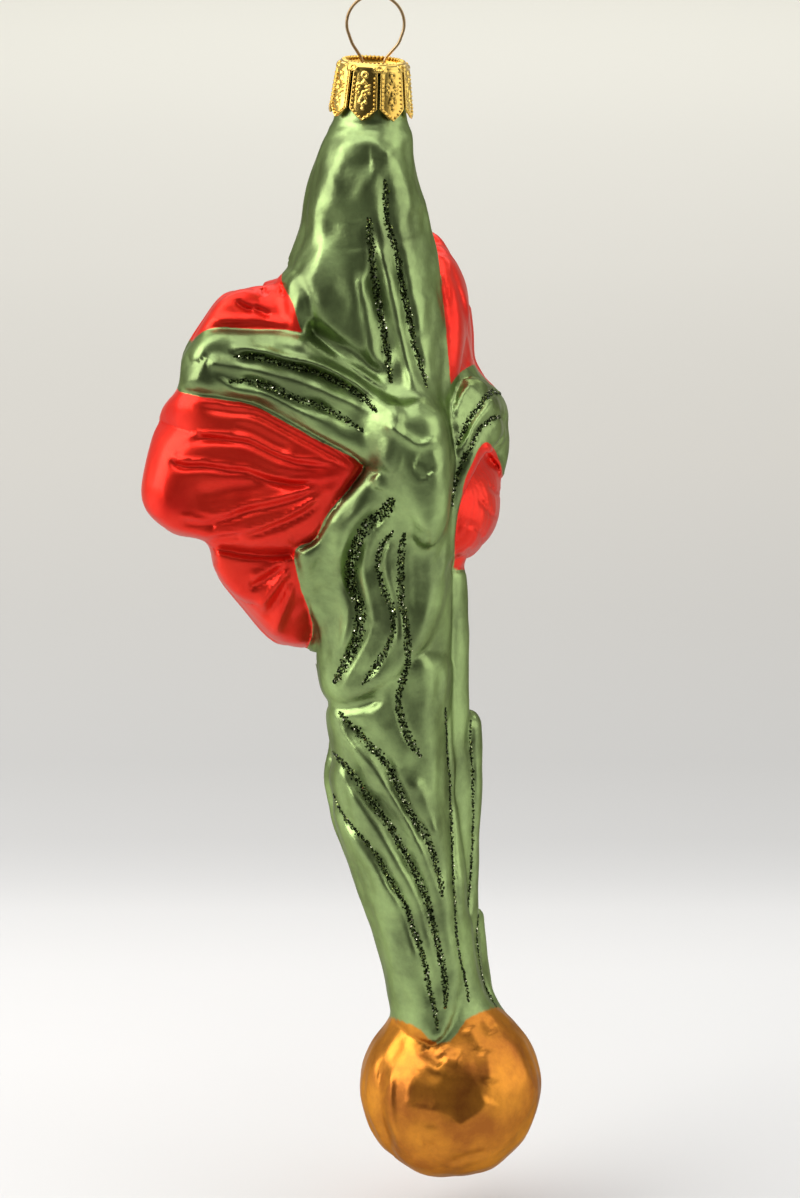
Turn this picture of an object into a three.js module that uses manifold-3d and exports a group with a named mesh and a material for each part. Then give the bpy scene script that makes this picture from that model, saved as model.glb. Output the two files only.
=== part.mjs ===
// A mould-blown glass tree ornament in the shape of an amaryllis growing from its bulb.
// One thin-walled glass body holds bulb, leaves, stem and flower. A stamped crown cap sits over the
// glass neck, and a sprung wire hanger goes through the cap: its ring hangs the ornament and its two
// legs spread inside the neck. Millimetres, +Z up. The flower's back looks to -Y, its open face to
// +Y and a little to -X. The origin is where a hook bears on the ring: the inside of its top.
import * as THREE from "three";
import { mergeVertices } from "three/addons/utils/BufferGeometryUtils.js";
import Module from "manifold-3d";

const wasm = await Module();
wasm.setup();

// ------------------------------------------------------------ driving dimensions
const WALL = 1.2; // the glass
const BODY_CELL = { across: 2.3, flower: 1.95, plain: 3.2 }; // how finely the outside is faceted
const HOLLOW_CELL = { across: 4, flower: 4.2, plain: 5.2 }; // and the inside
const FLOWER_SPAN = [-106, -34]; // the heights between which the glass has its finest relief
const CAP_TILT = THREE.MathUtils.degToRad(3); // the cap and the neck lean a little
const CAP_CENTRE = [-0.3, 0, -9.1]; // the middle of the cap's top
const CAP_SHEET = 0.35;
const CAP_TOP_R = 4.95;
const CAP_FOOT_R = 5.95;
const CAP_HEIGHT = 7.9; // to the points of the tabs
const TABS = 8;
const TAB_POINT = 1.7; // height of a tab's pointed end
const TAB_SLIT = 0.4;
const FIRST_SLIT = THREE.MathUtils.degToRad(13);
const WIRE_R = 0.22;
const RING_R = 4.1; // the ring's centreline
const LEG_GAP = 1.6; // each leg's distance from the middle where it goes through the cap
const LEG_FOOT = [2.6, -24.5]; // where a leg ends inside the neck
const NECK_BORE_R = 3.5;
const BULB = { x: 11.2, y: -5, z: -165, r: 13.8 };

// ------------------------------------------------------------ how the forms are laid out
// Relief on the near side is drawn on the plane y = 0 as it is seen from EYE. Relief on the
// flower's face is drawn square-on to the face, from the flower's base.
const EYE = { x: 3.5, y: -540, z: 62 };
const BASE = { x: 7.5, y: -11, z: -67 };
const FACE_TURN = THREE.MathUtils.degToRad(37);
const FACE_SIN = Math.sin(FACE_TURN);
const FACE_COS = Math.cos(FACE_TURN);
const FAR = 60; // a distance no form reaches

function onDrawing(x, y, z) {
  const reach = -EYE.y / (y - EYE.y);
  return [EYE.x + (x - EYE.x) * reach, EYE.z + (z - EYE.z) * reach];
}

// across the flower, up it, and from its base towards its face
function inFlower(x, y, z) {
  const dx = x - BASE.x;
  const dy = y - BASE.y;
  return [dx * FACE_COS + dy * FACE_SIN, z - BASE.z, dy * FACE_COS - dx * FACE_SIN];
}

// ------------------------------------------------------------ small tools
const clamp = THREE.MathUtils.clamp;

function melt(a, b, soft) {
  const h = Math.max(soft - Math.abs(a - b), 0) / soft;
  return Math.min(a, b) - (h * h * soft) / 4;
}

function carve(a, b, soft) {
  return -melt(-a, -b, soft);
}

// a smooth reading at "at" from rows of [at, value, value, ...]
function between(rows, at) {
  const last = rows.length - 1;
  let i = 0;
  while (i < last - 1 && (rows[i + 1][0] - at) * (rows[last][0] - rows[0][0]) < 0) i++;
  const [a, b] = [rows[i], rows[i + 1]];
  const [before, after] = [rows[Math.max(i - 1, 0)], rows[Math.min(i + 2, last)]];
  const span = b[0] - a[0];
  const t = clamp((at - a[0]) / span, 0, 1);
  return a.slice(1).map((value, j) => {
    const k = j + 1;
    const slopeIn = ((b[k] - before[k]) / (b[0] - before[0])) * span;
    const slopeOut = ((after[k] - a[k]) / (after[0] - a[0])) * span;
    const t2 = t * t;
    const t3 = t2 * t;
    return (
      (2 * t3 - 3 * t2 + 1) * value + (t3 - 2 * t2 + t) * slopeIn +
      (3 * t2 - 2 * t3) * b[k] + (t3 - t2) * slopeOut
    );
  });
}

function smoothLine(points, closed) {
  const nodes = points.map(([x, y]) => new THREE.Vector3(x, y, 0));
  const steps = points.length * 3;
  const curve = new THREE.CatmullRomCurve3(nodes, closed, "centripetal");
  return curve.getPoints(steps).map((p) => [p.x, p.y]);
}

function toLine(line, x, y) {
  let best = Infinity;
  for (let i = 0; i + 1 < line.length; i++) {
    const [ax, ay] = line[i];
    const dx = line[i + 1][0] - ax;
    const dy = line[i + 1][1] - ay;
    const t = clamp(((x - ax) * dx + (y - ay) * dy) / (dx * dx + dy * dy), 0, 1);
    best = Math.min(best, Math.hypot(x - ax - t * dx, y - ay - t * dy));
  }
  return best;
}

// how far a point lies inside a closed line, below zero outside it
function insideLine(line, x, y) {
  let inside = false;
  for (let i = 0; i + 1 < line.length; i++) {
    const [ax, ay] = line[i];
    const [bx, by] = line[i + 1];
    if (ay > y !== by > y && x < ((bx - ax) * (y - ay)) / (by - ay) + ax) inside = !inside;
  }
  return (inside ? 1 : -1) * toLine(line, x, y);
}

// ------------------------------------------------------------ full forms
// Each gives a point's rough distance from its skin, below zero inside.

// stacked oval sections: rows of [z, x, y, half width, half depth]
function column(rows, rounding) {
  const top = rows[0][0];
  const foot = rows[rows.length - 1][0];
  return (x, y, z) => {
    if (z > top + 5 || z < foot - 5) return FAR;
    const [cx, cy, wide, deep] = between(rows, z);
    const side = (Math.hypot((x - cx) / wide, (y - cy) / deep) - 1) * Math.min(wide, deep);
    return carve(side, Math.max(z - top, foot - z), rounding);
  };
}

function egg([cx, cy, cz], [rx, ry, rz]) {
  const small = Math.min(rx, ry, rz);
  return (x, y, z) => (Math.hypot((x - cx) / rx, (y - cy) / ry, (z - cz) / rz) - 1) * small;
}

// a strap of oval section along a curve: rows of [x, y, z, half width, half thickness];
// "face" is the way its broad side looks at its start and at its end
function strap(rows, faceStart, faceEnd) {
  const curve = new THREE.CatmullRomCurve3(rows.map(([x, y, z]) => new THREE.Vector3(x, y, z)));
  const steps = (rows.length - 1) * 3;
  const spots = [];
  for (let i = 0; i <= steps; i++) {
    const t = i / steps;
    const at = curve.getPoint(t);
    const along = curve.getTangent(t);
    const face = new THREE.Vector3(...faceStart).lerp(new THREE.Vector3(...faceEnd), t);
    face.addScaledVector(along, -face.dot(along)).normalize();
    const side = new THREE.Vector3().crossVectors(along, face);
    const spread = rows.map((row, k) => [k / (rows.length - 1), row[3], row[4]]);
    const [wide, thick] = between(spread, t);
    spots.push({ at, along, face, side, wide, thick });
  }
  const gap = new THREE.Vector3();
  const point = new THREE.Vector3();
  const ball = new THREE.Box3().setFromPoints(spots.map((s) => s.at)).expandByScalar(9);
  return (x, y, z) => {
    point.set(x, y, z);
    if (!ball.containsPoint(point)) return FAR;
    let best = FAR;
    for (let i = 0; i + 1 < spots.length; i++) {
      const [a, b] = [spots[i], spots[i + 1]];
      gap.subVectors(b.at, a.at);
      const length = gap.lengthSq();
      const t = clamp(point.clone().sub(a.at).dot(gap) / length, 0, 1);
      const off = point.clone().sub(a.at).addScaledVector(gap, -t);
      const wide = a.wide + (b.wide - a.wide) * t;
      const thick = a.thick + (b.thick - a.thick) * t;
      const across = off.dot(a.side) * (1 - t) + off.dot(b.side) * t;
      const out = off.dot(a.face) * (1 - t) + off.dot(b.face) * t;
      const past = off.dot(a.along) * (1 - t) + off.dot(b.along) * t;
      const round = Math.hypot(across / wide, out / thick, past / Math.min(wide, thick));
      best = Math.min(best, (round - 1) * Math.min(wide, thick));
    }
    return best;
  };
}

// Face petals round the throat, the later ones lying over the earlier.
const THROAT_R = 4;
const FACE_HEART_R = 17; // within it the petals are grown together
const facePetals = [
  { angle: 90, reach: 33.5, wide: 13, rise: 1.4 },
  { angle: 196, reach: 36, wide: 14, rise: 1.4 },
  { angle: 316, reach: 32, wide: 14, rise: 1.4 },
  { angle: 143, reach: 34, wide: 12.5, rise: 3.2 },
  { angle: 250, reach: 32, wide: 13.5, rise: 3.2 },
  { angle: 28, reach: 33, wide: 13, rise: 3.2 },
].map((petal) => {
  const turn = THREE.MathUtils.degToRad(petal.angle);
  return { ...petal, sin: Math.sin(turn), cos: Math.cos(turn) };
});

// where a point of the face lies on a petal: along it, off its midrib, and the petal's half width
function onPetal({ sin, cos, reach, wide }, across, up) {
  const along = across * cos + up * sin;
  const off = Math.abs(up * cos - across * sin);
  const t = clamp((along - THROAT_R) / (reach - THROAT_R), 0, 1);
  const broadest = 0.55;
  const end = t > broadest ? (t - broadest) / (1 - broadest) : 0;
  const start = t < broadest ? 1 - t / broadest : 0;
  const half = wide * Math.sqrt(1 - end ** 2.2) * (1 - 0.6 * start * start);
  return { along, off, half };
}

// how far a point of the face lies inside the petals' common outline
function insidePetals(across, up) {
  let inside = FACE_HEART_R - Math.hypot(across, up);
  for (const petal of facePetals) {
    const { along, off, half } = onPetal(petal, across, up);
    inside = Math.max(inside, Math.min(half - off, petal.reach - along));
  }
  return inside;
}

// the flower's funnel: rows of [distance from its middle, back skin, face skin]
function funnel(rows) {
  const spread = rows[rows.length - 1][0];
  return (x, y, z) => {
    const [across, up, out] = inFlower(x, y, z);
    const wide = Math.hypot(across, up);
    if (wide > spread + 8 || out < -12 || out > 40) return FAR;
    const [back, face] = between(rows, Math.min(wide, spread));
    const slab = carve(back - out, out - face, 2) * 0.75;
    return carve(slab, -insidePetals(across, up), 4);
  };
}

// ------------------------------------------------------------ the forms of the glass
// the broad upper sepal that grows down from the neck to the flower's base
const upper = column([
  [-18.2, -0.8, 0, 5.3, 5.3], [-19.4, -0.95, 0, 5.9, 5.6], [-22.4, -1.6, 0, 6.6, 6.1], [-26, -2.0, 0, 7.6, 6.8],
  [-29.4, -1.8, 0, 8.6, 7.3], [-33, -1.4, 0, 9.3, 7.8], [-39, -1.5, -0.5, 10.2, 8.4],
  [-44, -0.8, -1, 10.0, 8.6], [-50, 1.4, -2, 8.6, 8.2], [-55, 4, -3.5, 6.4, 7.6],
  [-60, 6, -5, 4.6, 7.2], [-66, 7, -6, 4, 6.5],
], 0.4);

const flower = funnel([
  [0, -2, 15], [4, -0.6, 16.5], [9, 2.4, 20.5], [14, 5.6, 24], [20, 9.8, 26.5],
  [26, 14, 26], [31, 17.6, 24.6], [36, 20.4, 23],
]);

// the knob at the flower's base, turned down into the stem
const knob = egg([6.6, -12.5, -66.6], [4.9, 5.4, 7.2]);

// stem with its sheath of leaves
const stem = column([
  [-72, 6, -5, 5, 7.5], [-80, 3.4, -4.5, 7.6, 8.2], [-90, 2.4, -4, 8.8, 8.6],
  [-100, 2.2, -3.6, 8.8, 8.8], [-108, 2.2, -3.6, 9.2, 8.8], [-116, 2.6, -3.8, 9.2, 8.6],
  [-122, 3.2, -4, 9.2, 8.4], [-130, 4.8, -4.4, 8.6, 8], [-138, 6.6, -4.8, 7.8, 7.6],
  [-146, 8.2, -5, 7.2, 7.2], [-152, 9.8, -5, 7.4, 7.2], [-160, 10.8, -5, 7.6, 7.2],
], 2);

// leaves that stand behind the stem on its right, tips up
const leafBehind = column([
  [-79, 9.4, 1.5, 3.6, 4.2], [-90, 10, 1.6, 3.6, 4.6], [-105, 10.4, 1.2, 3.6, 4.8],
  [-125, 10.4, 0.6, 3.8, 4.8], [-145, 11.2, -1.4, 3.8, 4.8], [-156, 13, -3, 3.8, 4.8],
], 2.5);
const leafRight = column([
  [-107.5, 12.9, 3, 3, 3.6], [-114, 12.9, 2.8, 3.2, 4.2], [-128, 12.4, 2, 3.2, 4.6],
  [-140, 12.6, 0, 3, 4.6], [-156, 14.4, -3, 3, 4.6],
], 2);
const leafLow = column([
  [-139.5, 14, 4.4, 2.4, 3], [-146, 14.2, 3, 2.6, 3.6], [-151, 14.8, 1, 2.8, 4], [-158, 15.6, -2, 2.8, 4],
], 1.6);

// leaves behind the stem, seen from the flower's open side
const leafBackTall = strap([
  [-1, 6, -92, 1.6, 1.6], [-1.4, 6.2, -100, 3.6, 2.4], [-0.4, 5, -114, 4, 2.8],
  [3.4, 3.4, -130, 3.8, 2.8], [8, 1.6, -148, 3.2, 2.6], [10, 0, -157, 3, 2.6],
], [-0.4, 1, 0], [0, 1, 0]);
const leafBackShort = strap([
  [-5.6, 0.6, -112, 1.8, 1.8], [-5.2, 1.6, -118, 3.2, 2.4], [-1.6, 1.8, -130, 3.4, 2.6],
  [3.4, 1, -144, 3, 2.4], [6, -0.4, -156, 2.8, 2.4],
], [-0.9, 0.6, 0], [-0.5, 0.8, 0]);

// the right sepal, which arches over and hangs its tip out of sight behind
const rightSepal = strap([
  [10, -8.5, -80, 1.8, 2.4], [10.6, -8.6, -72, 3, 2.8], [12.2, -7, -65, 4.4, 3],
  [14.6, -2.4, -60.4, 5.2, 3], [16.9, 4, -60.6, 5.2, 3], [18, 9.6, -64.6, 4.6, 2.8],
  [17.8, 13, -70, 3, 2.4],
], [0.3, -0.9, 0.2], [0.9, -0.1, 0.3]);

// red petals on the flower's right flank
const petalHigh = strap([
  [8, -4, -56, 3, 3], [9.6, 0, -50, 4.6, 4], [10.4, 5, -45, 5.6, 4.4],
  [9.8, 9.5, -42.4, 5, 4], [8.6, 12, -40.8, 3.4, 3],
], [0.9, -0.4, 0.1], [0.9, -0.2, 0.4]);
const petalLow = strap([
  [10, -4, -72, 3, 3], [12.4, 0, -75, 5, 4], [14.2, 5, -76.5, 6.4, 4.4], [14.6, 10, -77, 6, 4.2],
], [0.9, -0.4, 0], [0.95, -0.1, -0.2]);

const bulb = egg([BULB.x, BULB.y, BULB.z], [BULB.r, BULB.r, BULB.r]);

const forms = [
  { shape: upper, soft: 1 },
  { shape: flower, soft: 1.2, trimmed: true },
  { shape: knob, soft: 2 },
  { shape: stem, soft: 2 },
  { shape: leafBehind, soft: 0.8 },
  { shape: leafRight, soft: 0.8 },
  { shape: leafLow, soft: 0.8 },
  { shape: leafBackTall, soft: 0.8 },
  { shape: leafBackShort, soft: 0.8 },
  { shape: rightSepal, soft: 0.8, trimmed: true },
  { shape: petalHigh, soft: 1, trimmed: true },
  { shape: petalLow, soft: 1, trimmed: true },
  { shape: bulb, soft: 3 },
];

// ------------------------------------------------------------ relief on the near side
const plates = [
  { rise: 2, edge: 3, outline: [ // upper sepal
    [-6, -19.6], [-8.4, -22.4], [-10.6, -29.4], [-11.6, -36], [-13.5, -40.8], [-12.1, -44.5],
    [-10.6, -48], [-7.6, -50.6], [-4.4, -52.6], [-1, -54.8], [3, -60], [9, -62], [10.7, -55],
    [10.3, -45], [9, -35.5], [7, -29.4], [5.2, -22.4], [4.6, -19.6]] },
  { rise: 1.8, edge: 3, outline: [ // upper left petal
    [-11, -39.6], [-17.1, -40.9], [-22.2, -43], [-25.4, -47], [-26.8, -51], [-20, -53], [-10, -51]] },
  { rise: 3.6, edge: 2.6, outline: [ // left sepal
    [4, -60], [-1, -54.6], [-7.7, -50.4], [-11, -48.6], [-17.8, -48], [-24.2, -47.9], [-28.2, -51.8],
    [-29.2, -55], [-28.9, -57.4], [-20, -58.6], [-13.4, -61.8], [-5.9, -66.2], [0, -69.5], [5, -66]] },
  { rise: 2.8, edge: 5, outline: [ // large left petal
    [-2, -68.4], [-9.6, -62.5], [-20, -57.5], [-29.2, -57.1], [-32.6, -60.9], [-34.5, -68.7],
    [-34.9, -73.9], [-32.6, -77.4], [-28, -79.6], [-20.9, -81.2], [-12.4, -81.4], [-7.9, -77.7]] },
  { rise: 1.6, edge: 3, outline: [ // lower left petal
    [-26, -78], [-25.1, -81.8], [-22.2, -88], [-18.2, -91.5], [-15.4, -95.7], [-10.8, -97],
    [-9, -90], [-9, -80]] },
  { rise: 2.6, edge: 2.6, outline: [ // lower sepal, curled out at its tip
    [0, -69], [-3, -71.5], [-7.9, -78], [-12.2, -82], [-10.8, -88.3], [-9.8, -93.7], [-10.6, -99.8],
    [-9.1, -104.2], [-5.5, -105.3], [-1, -104.3], [4, -100], [9.5, -92], [10.8, -80], [10, -70]] },
  { rise: 1.6, edge: 3, outline: [ // the sheath's leaf fan
    [-8, -102], [-6.9, -111.7], [-6.4, -114], [-7.3, -117], [-6.5, -120.4], [-6.6, -123.1],
    [-3.9, -130], [-1.7, -135.5], [1.1, -145.7], [2.6, -156], [9, -160], [13, -150], [11, -130],
    [10.2, -110], [10.4, -98]] },
].map((plate) => ({ ...plate, line: smoothLine(plate.outline, true) }));

// valleys pressed along lines, and one keel, which is a valley of negative depth
const valleys = [
  { depth: -0.9, width: 1.9, line: [[0.8, -28], [1, -36.2], [3, -47], [5.8, -58.5]] },
  { depth: 1.5, width: 1.6, line: [[-21, -54], [-13, -55.6], [-5, -58.8], [-0.5, -62]] },
  { depth: 1.7, width: 1.8, line: [[2.3, -74.4], [-2.1, -78.9], [-3.8, -85.2], [-2, -90.9], [-3.5, -97.3],
    [-6.4, -102]] },
  { depth: 1.3, width: 1.6, line: [[3.9, -79.1], [3.6, -86.3], [4.7, -97], [3.4, -104.2], [6.5, -113.3]] },
  { depth: 1.7, width: 1.8, line: [[-5.6, -106.5], [1.7, -115.4], [6.4, -124.6], [9.9, -135.5]] },
  { depth: 1.7, width: 1.8, line: [[-6.4, -113.5], [0.9, -123.5], [7.1, -135.5], [9.9, -154]] },
  { depth: 1.5, width: 1.8, line: [[-6.6, -120], [1.2, -131.6], [7.2, -145.4], [9.3, -157.7]] },
].map((valley) => ({ ...valley, line: smoothLine(valley.line, false) }));

function plateRise(plate, x, z) {
  const inside = insideLine(plate.line, x, z);
  if (inside <= 0) return inside * 1.5;
  const t = Math.min(inside / plate.edge, 1);
  return plate.rise * Math.sqrt(1 - (1 - t) * (1 - t));
}

function valleyDepth(x, z) {
  let depth = 0;
  for (const valley of valleys) {
    const off = toLine(valley.line, x, z) / valley.width;
    if (off < 2.5) depth += valley.depth * Math.exp(-off * off);
  }
  return depth;
}

// ------------------------------------------------------------ relief on the flower's face
function faceRise(across, up) {
  let best = -0.6;
  for (const petal of facePetals) {
    const { along, off, half } = onPetal(petal, across, up);
    if (along < THROAT_R || along > petal.reach || off > half) continue;
    const dome = Math.sqrt(1 - (off / half) ** 2);
    const rib = 0.7 * Math.exp(-((off / 1.6) ** 2));
    best = Math.max(best, petal.rise * dome * Math.min((along - THROAT_R) / 5, 1) - rib);
  }
  return best;
}

// ------------------------------------------------------------ the whole glass
const flowerEdge = smoothLine([
  [-8, -30], [-13.5, -40.2], [-17.1, -40.9], [-22.2, -43], [-25.4, -47], [-28.2, -51.8], [-29.2, -57.2],
  [-32.6, -60.9], [-34, -65.9], [-35, -72], [-34.2, -75.4], [-30.2, -79.1], [-25.3, -80.4],
  [-24.1, -84.8], [-20, -90.5], [-15.4, -95.7], [-10.8, -97], [0, -98], [8, -92], [11.5, -84.6],
  [14.9, -82.5], [18.3, -77.4], [19, -72.5], [20.4, -65], [19, -58.3], [14.8, -53.4], [14, -47.9],
  [12.5, -40.1], [9, -34.6], [4, -30],
], true);

function bareGlass(x, y, z) {
  let skin = FAR;
  let trim = null;
  for (const { shape, soft, trimmed } of forms) {
    let form = shape(x, y, z);
    if (form > 8) continue;
    if (trimmed) {
      trim ??= -insideLine(flowerEdge, ...onDrawing(x, y, z));
      form = carve(form, trim, 3);
    }
    skin = melt(skin, form, soft);
  }
  return skin;
}

function slopeOf(field, x, y, z) {
  const h = 0.05;
  const g = new THREE.Vector3(
    field(x + h, y, z) - field(x - h, y, z),
    field(x, y + h, z) - field(x, y - h, z),
    field(x, y, z + h) - field(x, y, z - h),
  );
  return g.divideScalar(2 * h);
}

function glass(x, y, z) {
  const bare = bareGlass(x, y, z);
  if (bare > 7 || bare < -5) return bare;
  const slope = slopeOf(bareGlass, x, y, z).normalize();
  const near = THREE.MathUtils.smoothstep(-slope.y, -0.25, 0.1) * THREE.MathUtils.smoothstep(-y, -3, 0);
  const facing = slope.y * FACE_COS - slope.x * FACE_SIN;
  const [across, up, out] = inFlower(x, y, z);
  const [dx, dz] = onDrawing(x, y, z);
  let rise = 0;
  if (near > 0) {
    for (const plate of plates) rise = -melt(-rise, -plateRise(plate, dx, dz), 0.8);
    rise = (rise - valleyDepth(dx, dz)) * near;
  }
  if (facing > 0 && out > 10) {
    const ownSkin = 1 - THREE.MathUtils.smoothstep(flower(x, y, z) - bare, 0.5, 2);
    const open = THREE.MathUtils.smoothstep(facing, 0.1, 0.5) * (1 - near) * ownSkin;
    rise += faceRise(across, up) * open;
  }
  return bare - rise;
}

// ------------------------------------------------------------ from forms to faces
// The skin of a field: one point in each cell that it crosses, and two faces for each edge.
const BOX = { low: [-40, -26, -187], high: [29, 36, -8] };

function gridLines(cell) {
  return BOX.low.map((low, axis) => {
    const lines = [low];
    for (let at = low; at < BOX.high[axis]; ) {
      const inFlowerSpan = at > FLOWER_SPAN[0] && at < FLOWER_SPAN[1];
      at += axis < 2 ? cell.across : inFlowerSpan ? cell.flower : cell.plain;
      lines.push(at);
    }
    return lines;
  });
}

// Two grid points inside that meet only across a diagonal would pinch the skin: one of the
// points between them is taken inside as well.
function closePinches(values, [nx, ny, nz], spot) {
  const across = [];
  for (const [u, v] of [[0, 1], [1, 2], [2, 0]]) {
    const step = [0, 0, 0];
    step[u] = 1;
    const other = [0, 0, 0];
    other[v] = 1;
    across.push([step, other]);
  }
  let closed = 1;
  while (closed) {
    closed = 0;
    for (let i = 0; i + 1 < nx; i++)
      for (let j = 0; j + 1 < ny; j++)
        for (let k = 0; k + 1 < nz; k++)
          for (const [[a, b, c], [d, e, f]] of across) {
            const here = spot(i, j, k);
            const far = spot(i + a + d, j + b + e, k + c + f);
            const left = spot(i + a, j + b, k + c);
            const right = spot(i + d, j + e, k + f);
            const inside = values[here] < 0;
            if (inside !== values[far] < 0 || inside === values[left] < 0) continue;
            if (inside === values[right] < 0) continue;
            const [m, n] = inside ? [left, right] : [here, far];
            values[values[m] < values[n] ? m : n] = -0.1;
            closed++;
          }
  }
}

function skin(field, cell) {
  const lines = gridLines(cell);
  const count = lines.map((line) => line.length);
  const [nx, ny, nz] = count;
  const at = (i, axis) => lines[axis][i];
  const spot = (i, j, k) => (i * ny + j) * nz + k;
  const values = new Float32Array(nx * ny * nz);
  for (let i = 0; i < nx; i++)
    for (let j = 0; j < ny; j++)
      for (let k = 0; k < nz; k++) values[spot(i, j, k)] = field(at(i, 0), at(j, 1), at(k, 2));
  closePinches(values, count, spot);

  const points = [];
  const pointOf = new Map();
  function cellPoint(i, j, k) {
    const key = spot(i, j, k);
    if (pointOf.has(key)) return pointOf.get(key);
    const low = [at(i, 0), at(j, 1), at(k, 2)];
    const size = [at(i + 1, 0) - low[0], at(j + 1, 1) - low[1], at(k + 1, 2) - low[2]];
    const sum = [0, 0, 0];
    let crossings = 0;
    for (let corner = 0; corner < 8; corner++) {
      for (let axis = 0; axis < 3; axis++) {
        if (corner & (1 << axis)) continue;
        const a = [i + (corner & 1), j + ((corner >> 1) & 1), k + ((corner >> 2) & 1)];
        const b = [...a];
        b[axis] += 1;
        const va = values[spot(...a)];
        const vb = values[spot(...b)];
        if (va < 0 === vb < 0) continue;
        const where = a.map((n, m) => at(n, m));
        where[axis] += ((at(b[axis], axis) - where[axis]) * va) / (va - vb);
        where.forEach((w, m) => (sum[m] += w));
        crossings++;
      }
    }
    const place = sum.map((total) => total / crossings);
    for (let step = 0; step < 2; step++) {
      const off = field(...place);
      const slope = slopeOf(field, ...place);
      const push = -off / Math.max(slope.lengthSq(), 0.25);
      slope.toArray().forEach((s, m) => {
        place[m] = clamp(place[m] + s * push, low[m] + 0.06 * size[m], low[m] + 0.94 * size[m]);
      });
    }
    points.push(...place);
    pointOf.set(key, points.length / 3 - 1);
    return points.length / 3 - 1;
  }

  const faces = [];
  const halfway = (a, b) => [0, 1, 2].map((m) => (points[3 * a + m] + points[3 * b + m]) / 2);
  const offSkin = (a, b) => Math.abs(field(...halfway(a, b)));
  function addQuad(a, b, c, d) {
    if (offSkin(a, c) <= offSkin(b, d)) faces.push(a, b, c, a, c, d);
    else faces.push(a, b, d, b, c, d);
  }
  for (let i = 1; i < nx - 1; i++)
    for (let j = 1; j < ny - 1; j++)
      for (let k = 1; k < nz - 1; k++) {
        const here = values[spot(i, j, k)] < 0;
        for (let axis = 0; axis < 3; axis++) {
          const next = [i, j, k];
          next[axis] += 1;
          if (here === values[spot(...next)] < 0) continue;
          const [u, v] = [(axis + 1) % 3, (axis + 2) % 3];
          const around = [[0, 0], [-1, 0], [-1, -1], [0, -1]].map(([du, dv]) => {
            const c = [i, j, k];
            c[u] += du;
            c[v] += dv;
            return cellPoint(...c);
          });
          if (here) addQuad(...around);
          else addQuad(...around.reverse());
        }
      }
  return { points: new Float32Array(points), faces: new Uint32Array(faces) };
}

// ------------------------------------------------------------ solids
function solidOf({ points, faces }) {
  return new wasm.Manifold(new wasm.Mesh({ numProp: 3, vertProperties: points, triVerts: faces }));
}

function solidFrom(geometry) {
  geometry.deleteAttribute("normal");
  geometry.deleteAttribute("uv");
  const merged = mergeVertices(geometry, 1e-4);
  const points = new Float32Array(merged.attributes.position.array);
  return solidOf({ points, faces: new Uint32Array(merged.index.array) });
}

function geometryFrom(solid) {
  const { vertProperties, triVerts } = solid.getMesh();
  const geometry = new THREE.BufferGeometry();
  geometry.setAttribute("position", new THREE.BufferAttribute(vertProperties, 3));
  geometry.setIndex(new THREE.BufferAttribute(triVerts, 1));
  return geometry;
}

function largest(solid) {
  return solid.decompose().reduce((a, b) => (b.volume() > a.volume() ? b : a));
}

// a turned solid on the cap's leaning axis: rows of [radius, depth below the cap's top]
function turnedOnNeck(rows) {
  const turned = new THREE.LatheGeometry(rows.map(([r, z]) => new THREE.Vector2(r, z)), 28);
  turned.rotateX(Math.PI / 2).rotateY(CAP_TILT).translate(...CAP_CENTRE);
  return solidFrom(turned);
}

// ------------------------------------------------------------ glass_body
// the stamens, grown together in one club that stands out of the throat
function stamens() {
  const rows = [[0, -2], [2.4, -2], [1.9, 4], [2.1, 9], [3, 12.5], [2.8, 14.6], [1.6, 15.8], [0, 16.2]];
  const club = new THREE.LatheGeometry(rows.map(([r, z]) => new THREE.Vector2(r, z)), 16);
  club.rotateX(THREE.MathUtils.degToRad(8)).rotateZ(FACE_TURN);
  const out = 12; // from the flower's base to the bottom of its throat
  club.translate(BASE.x - out * FACE_SIN, BASE.y + out * FACE_COS, BASE.z);
  return solidFrom(club);
}

// The inside follows the full forms and takes little of the relief. Its facets are coarse, so it
// keeps a little further off the skin than the wall's thickness.
function insideOfGlass(x, y, z) {
  return Math.max(bareGlass(x, y, z), glass(x, y, z)) + WALL + 0.8;
}

function glassBody() {
  const outside = largest(solidOf(skin(glass, BODY_CELL)));
  const hollow = largest(solidOf(skin(insideOfGlass, HOLLOW_CELL)));
  const neck = turnedOnNeck([
    [0, -14], [5, -14], [5.55, -9.9], [5.2, -9], [4.6, -5], [4.3, -1.8], [4.1, -1.5], [0, -1.5],
  ]);
  const bore = turnedOnNeck([[0, -20], [NECK_BORE_R, -20], [NECK_BORE_R, 1], [0, 1]]);
  return geometryFrom(outside.add(neck).add(stamens()).subtract(hollow).subtract(bore));
}

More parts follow.
